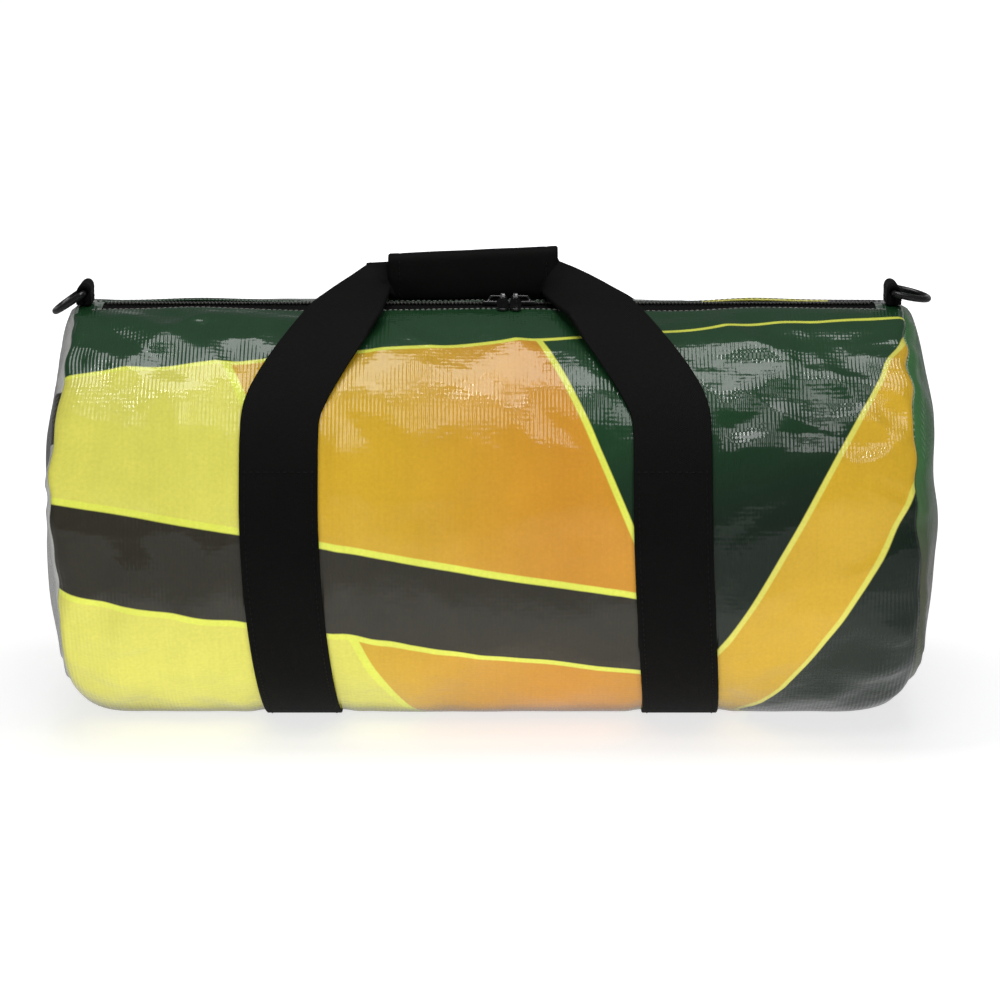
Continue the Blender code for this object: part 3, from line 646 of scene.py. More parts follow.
PRINTED = tarpaulin_finish("printed tarpaulin", print_colour)
END_LEFT = tarpaulin_finish("left end tarpaulin", left_end_colour)
END_RIGHT = tarpaulin_finish("right end tarpaulin", right_end_colour)
WEBBING = webbing_finish("black webbing", BLACK_WEB, 0.0013, 0.0022, 0.00012, 0.72)
TAPE_CLOTH = webbing_finish("zip tape cloth", BLACK_CLOTH, 0.0008, 0.0011, 0.00008, 0.80)
WRAP_CLOTH = webbing_finish("grip wrap cloth", BLACK_CLOTH, 0.0009, 0.0009, 0.00007, 0.76)
BINDING = webbing_finish("seam binding tape", BLACK_CLOTH, 0.0011, 0.0012, 0.00008, 0.82)
# Painted sheen: the coil's black nylon is lightened to dark grey to stand in for the highlights on its turns.
COIL = cast_finish("zip coil nylon lightened as painted sheen", (0.050, 0.050, 0.046), 0.28)
ENAMEL = cast_finish("black enamelled metal", BLACK_METAL, 0.15, gloss=1.0)
MOULDED = cast_finish("black moulded ring", BLACK_METAL, 0.26)
# Painted glints: grey thread in place of the glints on the dark hem stitches.
HEM_THREAD = thread_finish("hem thread lightened as painted glints", HEM_GLINT_GREY, 0.30, 0.7)
WEB_THREAD = thread_finish("black webbing thread", BLACK_THREAD, 0.65, 0.2)


# The bag's surface


def end_inset(x, a):
    nearness = np.clip(1 - (HALF_SEAM - np.abs(x)) / END_LIFT_REACH, 0, None)
    return END_LIFT * (1 - np.cos(a)) / 2 * nearness**END_LIFT_CURVE


def bag_surface(x, a, out=0.0):
    """Points of the bag at x and angle a, moved outwards by out. The corners of the base are rounded."""
    x, a, out = np.broadcast_arrays(np.asarray(x, float), np.asarray(a, float), np.asarray(out, float))
    inset = end_inset(x, a) - out
    reach = BAG_RADIUS - inset
    down = np.maximum(-np.cos(a), 1e-3)
    flat = (CENTRE_Z - BASE_Z - inset) / down
    reach = np.where(np.cos(a) < 0, soft_min(flat, reach, 0.0012), reach)
    return np.stack([x, -reach * np.sin(a), CENTRE_Z + reach * np.cos(a)], -1)


def from_crest(a):
    """An angle from the crest, counted alike on the front and on the back."""
    return math.pi - np.abs(np.mod(a, FULL_TURN) - math.pi)


def seam_wander(a, side):
    """How far an end seam wanders outwards along the bag, round its rim."""
    degrees, shifts = zip(*SEAM_WANDER[side])
    at = np.degrees(from_crest(a))
    blur = [np.interp(at + d, degrees, shifts) for d in (-8, -4, 0, 4, 8)]
    draw = np.random.RandomState(CREASE_SEED + 20 + side)
    bites = sum(np.sin(np.asarray(a) * draw.randint(12, 34) + draw.uniform(0, FULL_TURN)) for _ in range(5))
    bites = bites / math.sqrt(5) * smoothstep(8, 20, at) * (1 - smoothstep(95, 120, at))
    return np.mean(blur, axis=0) + SEAM_BITE * bites


def strap_drift(a):
    """How far along the bag a strap has drifted on its way from the front or the back to the base."""
    return STRAP_DRIFT * smoothstep(DRIFT_START, FLAT_ANGLE, from_crest(a))


def crease(x, s, line, height, width):
    """A fold line in the sheet: a ridge on the line and a shallow hollow beside it."""
    (x0, s0), (x1, s1) = line
    along = np.array([x1 - x0, s1 - s0])
    length = np.hypot(*along)
    t = ((x - x0) * along[0] + (s - s0) * along[1]) / length**2
    off = ((x - x0) * along[1] - (s - s0) * along[0]) / length
    off = off + 0.004 * np.sin(math.pi * t)
    fade = smoothstep(-0.18, 0.22, t) * (1 - smoothstep(0.78, 1.18, t))
    ridge = np.exp(-np.sqrt(off**2 + 0.0007**2) / width)
    hollow = np.exp(-(((off - 1.9 * width) / (1.6 * width)) ** 2))
    return height * fade * (ridge - 0.65 * hollow)


def strap_cover(x, a):
    """1 under the straps and the lower legs of the handles, 0 well clear of them."""
    shares, turns = zip(*[place[:2] for place in LEG_PLACES])
    turn = np.clip(1 - from_crest(a) / SEWN_ANGLE, 0, 1)
    half = STRAP_SPACING / 2
    side = np.sign(x - STRAP_SHIFT_X)
    centre = half + np.interp(turn, turns, shares) * (RUN_HALF_LENGTH + side * RUN_SHIFT_X - half)
    off = np.abs(side * (x - STRAP_SHIFT_X - strap_drift(a)) - centre)
    lying = 1 - smoothstep(0.45, 0.65, turn)
    return lying * (1 - smoothstep(WEB_WIDTH / 2 + 0.001, WEB_WIDTH / 2 + 0.012, off))


def facets(x, s, draw):
    """Broad folds of a stiff sheet: nearly flat facets that meet at soft edges, each fold in its own patch."""
    height = np.zeros_like(x)
    for _ in range(FOLDS):
        x0, s0 = draw.uniform(-0.27, 0.27), draw.uniform(0.03, 0.83)
        turn, phase = draw.uniform(0, math.pi), draw.uniform(0, 1)
        length, slope, reach = draw.uniform(0.022, 0.055), draw.uniform(0.05, FOLD_SLOPE), draw.uniform(0.030, 0.075)
        run = (x - x0) * math.cos(turn) + (s - s0) * math.sin(turn)
        beside = (s - s0) * math.cos(turn) - (x - x0) * math.sin(turn)
        wave = np.arcsin(0.97 * np.sin(FULL_TURN * (run / length + phase + 0.12 * np.sin(beside / 0.03 + phase * 9))))
        patch = np.exp(-(((x - x0) / reach) ** 2) - ((s - s0) / reach) ** 2)
        height += slope * length / 4 * wave * 2 / math.pi * patch
    return height


def creasing(x, a):
    """Height of the creases of the filled bag, outwards."""
    draw = np.random.RandomState(CREASE_SEED)
    s = BAG_RADIUS * a
    height = facets(x, s, draw)
    for _ in range(BROAD_WAVES):
        length = draw.uniform(0.055, 0.16)
        turn, phase = draw.uniform(0, FULL_TURN), draw.uniform(0, FULL_TURN)
        wave = np.sin((x * math.cos(turn) + s * math.sin(turn)) * FULL_TURN / length + phase)
        height += BROAD_HEIGHT * length / 0.16 * wave / math.sqrt(BROAD_WAVES) * 1.6
    for _ in range(PUCKERS):
        for side in (-1, 1):
            at, reach = draw.uniform(0.12, FULL_TURN - 0.12), draw.uniform(0.018, 0.060)
            slant, high = draw.uniform(-0.5, 0.5), draw.uniform(0.3, 1.0)
            span = draw.uniform(0.005, 0.011)
            inwards = HALF_SEAM - side * x
            off = (a - at) * BAG_RADIUS - slant * inwards
            near = np.exp(-((inwards / reach) ** 2)) * smoothstep(0.0, 0.008, inwards)
            ridge = np.exp(-np.abs(off) / span) - 0.45 * np.exp(-((off / span / 2.6) ** 2))
            height += PUCKER_HEIGHT * high * near * ridge
    for _ in range(LOOSE_CREASES):
        x0, a0 = draw.uniform(-0.26, 0.26), draw.uniform(0.35, FULL_TURN - 0.35)
        length, turn = draw.uniform(0.025, 0.085), draw.uniform(0, math.pi)
        high, width = draw.uniform(0.0003, 0.0010), draw.uniform(0.0035, 0.0075)
        s0 = BAG_RADIUS * a0
        line = ((x0, s0), (x0 + length * math.cos(turn), s0 + length * math.sin(turn)))
        height += crease(x, s, line, high, width)
    for x0, d0, x1, d1, high, width in CREASES:
        line = ((x0, BAG_RADIUS * math.radians(d0)), (x1, BAG_RADIUS * math.radians(d1)))
        height += crease(x, s, line, high, width)
    return RELIEF * np.tanh(height / RELIEF)


def skin_height(x, a):
    """Outward place of the tarpaulin: creased, held down by the straps, and touching the floor between them."""
    covered = strap_cover(x, a)
    round_front = from_crest(a)
    free = creasing(x, a)
    near_zip = 1 - smoothstep(0.14, 0.26, round_front)
    free = free * (1 - 0.80 * near_zip) + ZIP_WAVE * near_zip * np.sin(x * 31 + 1.2)
    base = smoothstep(2.45, 2.85, round_front) * (1 - 0.6 * smoothstep(0.240, 0.268, np.abs(x)))
    free = free * (1 - 0.9 * base) + SOLE_SAG * base
    swell = OUTER_SWELL * np.exp(-(((np.abs(x - STRAP_SHIFT_X) - 0.185) / 0.030) ** 2))
    swell += MIDDLE_SWELL * np.exp(-(((x - STRAP_SHIFT_X) / 0.060) ** 2)) * smoothstep(0.6, 1.1, round_front)
    free = free + swell * (1 - base)
    free = free * smoothstep(0.0, 0.009, HALF_SEAM - np.abs(x))
    height = free * (1 - covered) - STRAP_BITE * covered
    inwards = np.clip((HALF_SEAM - np.abs(x)) / SEAM_ROLL, 0, 1)
    height -= SEAM_DEPTH * (1 - np.sqrt(1 - (1 - inwards) ** 2))
    edge = np.where(a > math.pi, BACK_HEM, FRONT_HEM)
    hem = 1 - smoothstep(0.0, 0.0016, (round_front - edge) * BAG_RADIUS)
    return height - HEM_SINK * hem


def barrel_skin():
    """The tube of tarpaulin, with the zip mouth left open along its crest."""
    near = HALF_SEAM - np.array([0, 0.0004, 0.0010, 0.0018, 0.0028, 0.0042, 0.0062, 0.0088, 0.0118])
    middle = np.linspace(-HALF_MOUTH, HALF_MOUTH, 168)
    between = np.array([0.2595])
    stations = np.concatenate([-near, -between, middle, between, near[::-1]])
    front = np.linspace(FRONT_HEM, math.radians(125), 148)
    under = np.linspace(math.radians(125), math.radians(235), 32)[1:-1]
    back = np.linspace(math.radians(235), FULL_TURN - BACK_HEM, 66)
    mouth = np.linspace(-BACK_HEM, FRONT_HEM, 7)
    angles = np.concatenate([mouth[3:-1], front, under, back, FULL_TURN + mouth[1:4]])
    x, a = np.meshgrid(stations, angles, indexing="ij")
    wrapped = np.mod(a, FULL_TURN)
    height = skin_height(x, wrapped)
    points = bag_surface(x, wrapped, height)
    points[..., 2] = np.maximum(points[..., 2], FLOOR_ROOM)
    pull = smoothstep(HALF_SEAM - SEAM_PULL, HALF_SEAM, np.abs(x))
    points[..., 0] += np.sign(x) * pull * np.where(x > 0, seam_wander(a, 1), seam_wander(a, -1))
    rows, columns = x.shape
    place = np.stack([x, BAG_RADIUS * a], -1)
    faces, uv = [], []
    for i in range(rows - 1):
        inside = max(abs(stations[i]), abs(stations[i + 1])) < HALF_MOUTH + 1e-6
        for j in range(columns - 1):
            if inside and (angles[j + 1] < FRONT_HEM + 1e-6 or angles[j] > FULL_TURN - BACK_HEM - 1e-6):
                continue
            corners = [(i, j), (i, j + 1), (i + 1, j + 1), (i + 1, j)]
            faces.append([r * columns + c for r, c in corners])
            uv += [place[r, c] for r, c in corners]
    obj = new_piece("barrel_skin", points.reshape(-1, 3), faces, PRINTED, uv)
    shape = bmesh.new()
    shape.from_mesh(obj.data)
    bmesh.ops.delete(shape, geom=[v for v in shape.verts if not v.link_faces], context="VERTS")
    bmesh.ops.remove_doubles(shape, verts=shape.verts, dist=1e-6)
    bmesh.ops.recalc_face_normals(shape, faces=shape.faces)
    middle_face = min(shape.faces, key=lambda f: (f.calc_center_median() - Vector((0, -BAG_RADIUS, CENTRE_Z))).length)
    if middle_face.normal.y > 0:
        bmesh.ops.reverse_faces(shape, faces=shape.faces)
    shape.to_mesh(obj.data)
    shape.free()
    add_wall(obj, TARP)
    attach(obj, "bag")
    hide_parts("barrel_panel")
    return obj


def end_skin(name, side, finish):
    """A round end of tarpaulin, domed by what fills the bag and drawn into puckers at its seam."""
    angles = np.linspace(0, FULL_TURN, 240, endpoint=False)
    depth = SEAM_DEPTH - 0.0006
    rim = bag_surface(side * HALF_SEAM, angles, -depth)
    wander = side * (seam_wander(angles, side) - 0.0006)
    middle = rim.mean(0)
    middle[0] = side * HALF_SEAM
    shares = np.concatenate([[1.0, 0.992, 0.98, 0.962, 0.94], np.linspace(0.91, 0.03, 24)])
    draw = np.random.RandomState(CREASE_SEED + 5 + side)
    folds = [(draw.uniform(0, FULL_TURN), draw.uniform(0.02, 0.07), draw.uniform(0.2, 1.0), draw.uniform(0.06, 0.28))
             for _ in range(30)]
    waves = [(draw.uniform(0.05, 0.12), draw.uniform(0, FULL_TURN), draw.uniform(0, FULL_TURN)) for _ in range(12)]
    rings, places = [], []
    for share in shares:
        ring = middle + (rim - middle) * share
        bulge = END_DOME[side] * (1 - share**DOME_POWER)
        bulge += END_PUFF[side] * (1 - math.exp(-(1 - share) / 0.018))
        fold = np.zeros_like(angles)
        for at, span, high, reach in folds:
            off = np.abs((angles - at + math.pi) % FULL_TURN - math.pi)
            inwards = 1 - share
            near = math.exp(-((inwards / reach) ** 2)) * min(inwards / 0.02, 1)
            fold += END_FOLD * high * np.exp(-off / span) * near
        for length, turn, phase in waves:
            run = ring[:, 1] * math.cos(turn) + ring[:, 2] * math.sin(turn)
            fold += END_WAVE * np.sin(run * FULL_TURN / length + phase) * (1 - share**6)
        ring[:, 0] += side * (bulge - END_SINK * (1 - share) + fold) + wander * share**9
        ring[:, 0] = np.minimum(ring[:, 0] * side, HALF_SEAM + END_BULGE) * side
        rings.append(ring)
        places.append(np.stack([ring[:, 1], ring[:, 2] - CENTRE_Z], -1))
    points, faces = tube_mesh(rings, closed_ends=False)
    apex = len(points)
    centre = rings[-1].mean(0)
    points = np.vstack([points, centre])
    count = len(angles)
    faces += [(apex - count + j, apex - count + (j + 1) % count, apex) for j in range(count)]
    if side < 0:
        faces = [f[::-1] for f in faces]
    obj = patterned_piece(name, points, faces, finish, [*places, [centre[1], centre[2] - CENTRE_Z]])
    add_wall(obj, TARP)
    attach(obj, "bag")
    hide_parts("end_panel_" + SIDE_NAMES[side])
    return obj


def seam_tape(name, side):
    """Binding tape folded over the raw edges of an end seam, inside the bag."""
    angles = np.linspace(0, FULL_TURN, 180, endpoint=False)
    start = side * (HALF_SEAM - 0.010)
    profile = [(0.0, 0.0052), (0.0, 0.0062), (0.0030, 0.0066), (0.0060, 0.0066), (0.0088, 0.0062), (0.0088, 0.0052)]
    drawn_in = side * np.minimum(seam_wander(angles, side), 0)
    rings = [bag_surface(start + side * along + drawn_in, angles, -inward) for along, inward in profile]
    points, faces = tube_mesh(rings, loop=True)
    places = [np.stack([np.full_like(angles, along + inward), BAG_RADIUS * angles], -1) for along, inward in profile]
    obj = face_outwards(patterned_piece(name, points, faces, BINDING, places))
    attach(obj, "bag")
    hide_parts("seam_binding_" + SIDE_NAMES[side])


# Webbing


def smooth_rows(rows, steps):
    """Rows of numbers run through smoothly, with steps between each two."""
    rows = np.array(rows)
    padded = np.vstack([2 * rows[0] - rows[1], rows, 2 * rows[-1] - rows[-2]])
    out = []
    for i in range(1, len(padded) - 2):
        before, here, there, after = padded[i - 1 : i + 3]
        for t in np.linspace(0, 1, steps, endpoint=False):
            square = 2 * before - 5 * here + 4 * there - after
            cube = 3 * (here - there) + after - before
            out.append(here + t / 2 * (there - before + t * square + t * t * cube))
    return np.vstack([out, rows[-1]])


def run_place(run_y, wrapping):
    nearest = max(run_y - FOLDED_THICK / 2 - wrapping, 0)
    rise = math.sqrt(BAG_RADIUS**2 - nearest**2) + RUN_ROOM + wrapping + FOLDED_WIDTH / 2
    return math.atan2(-run_y, rise), math.hypot(run_y, rise) - BAG_RADIUS


def unit(v):
    return v / np.linalg.norm(v)


def web_section(width, fold):
    """Outline of the webbing across its run: flat, or with its inner edge tucked back under it.

    Pairs of (towards the inner edge, towards the viewer), and the width that each point lies at."""
    tuck = width - FOLD_BEND
    folded = min(tuck + math.pi * FOLD_BEND, WEB_WIDTH - 0.0002)
    steps = np.concatenate([0.0004 * np.arange(3), np.linspace(0.0014, tuck, 16), np.linspace(tuck, folded, 12)[1:],
                            np.linspace(folded, WEB_WIDTH, 12)[1:]])
    turn = np.clip((steps - tuck) / FOLD_BEND, 0, math.pi * float(smoothstep(0, 0.15, fold)))
    gap = np.diff(steps, prepend=0)
    line = np.stack([np.cumsum(gap * np.cos(turn)), -np.cumsum(gap * np.sin(turn))], -1)
    normal = np.stack([np.sin(turn), np.cos(turn)], -1)
    half = WEB_THICK / 2
    wall = (half * rounded_edge(np.minimum(steps, WEB_WIDTH - steps), half, 0.12))[:, None]
    outline = np.vstack([line + normal * wall, (line - normal * wall)[::-1]])
    outline[:, 0] -= width / 2
    outline[:, 1] += fold * (FOLDED_THICK - WEB_THICK) / 2
    return outline, np.concatenate([steps, steps[::-1] + 2 * WEB_WIDTH])


def strap_rings(side, run_y, wrapping):
    """Centre, outward facing, heading, width and fold of each ring of a strap, from base to base."""
    run_angle, run_lift = run_place(run_y, wrapping)
    sewn = side * (SEWN_ANGLE - HINGE_GAP / BAG_RADIUS)
    half = STRAP_SPACING / 2
    upright = math.pi / 2 - side * run_angle

    def place(sign, share, turn, climb, tilt, fold):
        run_end = RUN_HALF_LENGTH + sign * RUN_SHIFT_X
        return np.array([
            half + share * (run_end - half),
            sewn + turn * (run_angle - sewn),
            WEB_LIFT + climb * (run_lift - WEB_LIFT),
            tilt * upright,
            WEB_WIDTH + fold * (FOLDED_WIDTH - WEB_WIDTH),
            fold,
        ])

    def straight(row):
        reach = BAG_RADIUS + row[2]
        return np.array([row[0], reach * math.sin(row[1]), reach * math.cos(row[1])])

    def from_straight(point):
        return point[0], math.atan2(point[1], point[2]), math.hypot(point[1], point[2]) - BAG_RADIUS

    def half_strap(sign):
        """Rows from the base up the sewn band, the leg, its corner and half of the folded run."""
        lead = place(sign, 0, -LEG_LEAD, 0, 0, 0)
        curve = [place(sign, *shares) for shares in LEG_PLACES[:-1]]
        corner, run = [place(sign, *shares) for shares in GRIP_CORNERS[sign]]
        level = place(sign, *LEG_PLACES[-1])
        band = [np.array([half, a, *lead[2:]]) for a in np.linspace(side * (math.pi - 0.004), lead[1], 64)[:-1]]
        stretch = np.linspace(curve[-1], corner, 6)
        for row, share in zip(stretch, np.linspace(0, 1, 6)):
            row[:3] = from_straight(straight(curve[-1]) * (1 - share) + straight(corner) * share)
        middle = [np.array([run[0] * share, *level[1:]]) for share in (0.75, 0.5, 0.25)]
        return [*band, *smooth_rows([lead, *curve], 8), *stretch[1:], run, *middle]

    left, right = half_strap(-1), half_strap(1)
    rows = [(-1, r) for r in left] + [(1, r) for r in right[::-1]]
    centres, facings = [], []
    for sign, (across, angle, lift, tilt, _, _) in rows:
        x = STRAP_SHIFT_X + sign * across + strap_drift(angle)
        centres.append(bag_surface(x, angle % FULL_TURN, lift))
        outward = np.array([0, -math.sin(angle), math.cos(angle)])
        away = side * np.array([0, -math.cos(angle), -math.sin(angle)])
        facings.append(outward * math.cos(tilt) + away * math.sin(tilt))
    centres = np.array(centres)
    rings = []
    travelled = 0.0
    for i, (sign, row) in enumerate(rows):
        ahead = unit(centres[min(i + 1, len(rows) - 1)] - centres[max(i - 1, 0)])
        if row[3] >= upright - 1e-9:
            ahead = np.array([1.0, 0, 0])
        across = unit(np.cross(ahead, facings[i]))
        facing = unit(np.cross(across, ahead))
        travelled += float(np.linalg.norm(centres[i] - centres[i - 1])) if i else 0.0
        rings.append((centres[i], across, facing, row[4], min(max(row[5], 0), 1), travelled))
    return rings


def handle_strap(name, side, run_y, wrapping, handle):
    """One strap: both sewn bands up from the base and the free loop of the handle, folded at the grip."""
    sections, places = [], []
    for centre, across, facing, width, fold, travelled in strap_rings(side, run_y, wrapping):
        outline, widths = web_section(width, fold)
        sections.append(centre + outline[:, :1] * across + outline[:, 1:] * facing)
        places.append(np.stack([widths, np.full_like(widths, travelled)], -1))
    points, faces = tube_mesh(sections)
    obj = face_outwards(patterned_piece(name, points, faces, WEBBING, places))
    hinge = bag_surface(STRAP_SHIFT_X, (side * SEWN_ANGLE) % FULL_TURN, SEW_GAP + WEB_THICK + HINGE_PROUD)
    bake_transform(obj)
    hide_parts(handle, "strap_band_left", "strap_band_right")
    return obj


# Grip wrap


def grip_frame():
    run_angle, run_lift = run_place(FRONT_RUN_Y, WRAPPING)
    run_z = CENTRE_Z + (BAG_RADIUS + run_lift) * math.cos(run_angle)
    inner = FOLDED_THICK / 2 + SEW_GAP
    top = run_z + FOLDED_WIDTH / 2 + SEW_GAP
    floor = run_z - FOLDED_WIDTH / 2 - SEW_GAP
    return FRONT_RUN_Y - inner, FRONT_RUN_Y + inner, floor, top


def wrap_climb(x, z):
    """How much higher the wrap lies at x and height z, since it was closed a little askew."""
    _, _, floor, top = grip_frame()
    return WRAP_CLIMB * (x - GRIP_ENDS[0]) / GRIP_LENGTH * np.clip((z - floor) / (top - floor), 0, 1)


def cloth_strip(name, path, thickness, x0, x1, finish, along=40, climb=False):
    """A padded strip of cloth that follows a path across the handle, from x0 to x1.

    Gives the strip and its outer face at each place along it."""
    path = np.array(path, float)
    gone = way_along(path)
    steps = np.linspace(0, gone[-1], 44)
    line = np.stack([np.interp(steps, gone, path[:, i]) for i in (0, 1)], -1)
    for _ in range(3):
        line[1:-1] = 0.25 * line[:-2] + 0.5 * line[1:-1] + 0.25 * line[2:]
    ahead = np.gradient(line, axis=0)
    ahead /= np.linalg.norm(ahead, axis=1)[:, None]
    normal = np.stack([-ahead[:, 1], ahead[:, 0]], -1)
    half = thickness / 2
    edge = np.minimum(steps, gone[-1] - steps)
    rounded = rounded_edge(edge, half, 0.15)
    xs = np.linspace(0, 1, along)
    xs = 0.5 - 0.5 * np.cos(math.pi * xs) * (1 - 0.35 * np.sin(math.pi * xs))
    rings, places = [], []
    face = {}
    for share in xs:
        x = x0 + share * (x1 - x0)
        from_end = min(x - x0, x1 - x)
        end = rounded_edge(from_end, half, 0.15)
        seam = 1 - 0.20 * math.exp(-((from_end - WRAP_HEM) / 0.0011) ** 2)
        puff = 1 + 0.10 * math.sin(x * 160 + 1.0) * 0.5
        wall = half * rounded * end * seam
        outer = line + normal * (wall * puff)[:, None]
        inner = line - normal * wall[:, None]
        loop = np.vstack([outer, inner[::-1]])
        if climb:
            loop[:, 1] += wrap_climb(x, loop[:, 1])
        rings.append(np.column_stack([np.full(len(loop), x), loop]))
        face[x] = rings[-1][: len(line)]
        places.append(np.column_stack([np.full(len(loop), x), np.concatenate([steps, steps[::-1] + 0.2])]))
    points, faces = tube_mesh(rings)
    return face_outwards(patterned_piece(name, points, faces, finish, places)), face


def closure_tape(name, node, body, y, facing, climb):
    """One half of the wrap's hook-and-loop closure: a thin tape with rows of small tufts, towards facing."""
    _, _, _, top = grip_frame()
    low = top - CLOSURE_HEIGHT - CLOSURE_THICK
    ends = [GRIP_ENDS[0] + CLOSURE_MARGIN, GRIP_ENDS[1] - CLOSURE_MARGIN]
    middle = y + CLOSURE_THICK / 2 - facing * CLOSURE_THICK / 4
    path = [(middle, low), (middle, low + CLOSURE_HEIGHT)]
    tape, _ = cloth_strip(name, path, CLOSURE_THICK / 2, *ends, BINDING, along=24, climb=climb)
    xs = np.linspace(*ends, 40)[1:-1]
    rows = []
    for z in np.linspace(low + 0.001, low + CLOSURE_HEIGHT - 0.001, 5):
        lift = wrap_climb(xs, z) if climb else np.zeros_like(xs)
        rows.append(np.column_stack([xs, np.full_like(xs, y + CLOSURE_THICK / 2 + facing * 0.00012), z + lift]))
    tufts = copies_along(name + "_tufts", rows, STITCH_TREE, WEB_THREAD, Pitch=0.0016, Stitch=0.0008, Thread=0.0005)
    for obj in (tape, tufts):
        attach(obj, body)
    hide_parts(node)


def grip():
    """The wrap round the front handle's grip: a lining under the webbing and an outer cloth that closes over it."""
    low_y, high_y, floor, top = grip_frame()
    x0, x1 = GRIP_ENDS
    wall = COVER_THICK / 2
    front, back, under = low_y - wall, high_y + wall, floor - wall
    flap_z = top + SEW_GAP + FLAP_THICK / 2
    tail_y = high_y + COVER_THICK + 3 * SEW_GAP + 2 * CLOSURE_THICK + FLAP_THICK / 2
    lining, _ = cloth_strip(
        "grip_lining",
        [
            (front + 0.0016, floor + 0.0004), (front + 0.004, under), (back - 0.001, under), (back, floor + 0.001),
            (back, top),
        ],
        COVER_THICK, x0 + 0.0006, x1 - 0.0006, WRAP_CLOTH,
    )
    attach(lining, "front_handle")
    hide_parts("grip_cover")
    outer_front = low_y - FLAP_THICK / 2 + 0.0006
    wrap, face = cloth_strip(
        "grip_wrap",
        [
            (outer_front + 0.0010, floor - 0.0026), (outer_front, floor + 0.001),
            (outer_front - 0.0006, (floor + top) / 2), (outer_front, top - 0.002),
            (outer_front + 0.0006, top + 0.0008), (outer_front + 0.0026, flap_z),
            (tail_y - 0.0022, flap_z), (tail_y - 0.0004, flap_z - 0.0012), (tail_y, flap_z - 0.004),
            (tail_y, top - FLAP_TAIL),
        ],
        FLAP_THICK - 0.0004, x0, x1, WRAP_CLOTH, along=56, climb=True,
    )
    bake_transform(wrap)
    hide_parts("grip_flap")
    hems = [face[min(face, key=lambda x: abs(x - at))] for at in (x0 + WRAP_HEM, x1 - WRAP_HEM)]
    below = [line[(line[:, 2] < top - 0.001) & (line[:, 1] < FRONT_RUN_Y)] for line in hems]
    stitches("wrap_hem_stitches", below, "front_handle", WEB_THREAD, pitch=0.0034, stitch=0.0026)
    loop_y = high_y + COVER_THICK + SEW_GAP
    closure_tape("grip_loops", "grip_loop_tape", "front_handle", loop_y, 1, False)
    closure_tape("grip_hooks", "grip_hook_tape", "grip_flap", loop_y + CLOSURE_THICK + SEW_GAP, -1, True)


# Rings and their tabs


def ring_tab(name, side):
    """Webbing folded over the ring's bar, its two legs sewn together and down on the crest."""
    inner, outer = RING_WIRE / 2 + RING_SLACK, RING_WIRE / 2 + RING_SLACK + TAB_THICK
    foot = CREST_Z + SEW_GAP
    rise = np.linspace(foot, TAB_BAR_Z, 9)[:-1]
    closed = [0.00006 + (inner - 0.00006) * smoothstep(TAB_BAR_Z - 1.4 * inner, TAB_BAR_Z, z) for z in rise]
    bow = np.linspace(0, math.pi, 26)
    outside = [(outer, z) for z in rise]
    outside += [(outer * math.cos(t), TAB_BAR_Z + TAB_LOOP_RISE * outer * math.sin(t)) for t in bow]
    outside += [(-outer, z) for z in rise[::-1]]
    inside = [(c, z) for c, z in zip(closed, rise)]
    inside += [(inner * math.cos(t), TAB_BAR_Z + inner * math.sin(t)) for t in bow]
    inside += [(-c, z) for c, z in zip(closed[::-1], rise[::-1])]
    outside, inside = np.array(outside), np.array(inside)
    for line in (outside, inside):
        line[:, 0] -= side * TAB_LEAN * np.clip((line[:, 1] - foot) / TAB_BAR_HEIGHT - 1, 0, None)
    gone = way_along(outside)
    across = np.linspace(-TAB_WIDTH / 2, TAB_WIDTH / 2, 14)
    edge = np.minimum(across + TAB_WIDTH / 2, TAB_WIDTH / 2 - across)
    eased = 1 - rounded_edge(edge, TAB_THICK / 2, 0.1)
    rings, places = [], []
    for far, near, s in zip(outside, inside, gone):
        middle = (far + near) / 2
        up = [(*(far + (middle - far) * e), y) for y, e in zip(across, eased)]
        low = [(*(near + (middle - near) * e), y) for y, e in zip(across, eased)]
        ring = np.array(up + low[::-1])[:, [0, 2, 1]]
        rings.append(ring + np.array([side * TAB_X, 0, 0]))
        places.append(np.column_stack([np.concatenate([across, across[::-1] + 0.1]), np.full(2 * len(across), s)]))
    points, faces = tube_mesh(rings)
    obj = face_outwards(patterned_piece(name, points, faces, WEBBING, places))
    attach(obj, "bag")
    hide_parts("ring_tab_" + SIDE_NAMES[side])
    ys = np.linspace(-TAB_WIDTH / 2 + 0.002, TAB_WIDTH / 2 - 0.002, 12)
    rows = [np.array([(side * TAB_X + way * outer, y, foot + 0.003) for y in ys]) for way in (-1, 1)]
    stitches(name + "_stitches", rows, "bag", WEB_THREAD, pitch=0.0030, stitch=0.0022)


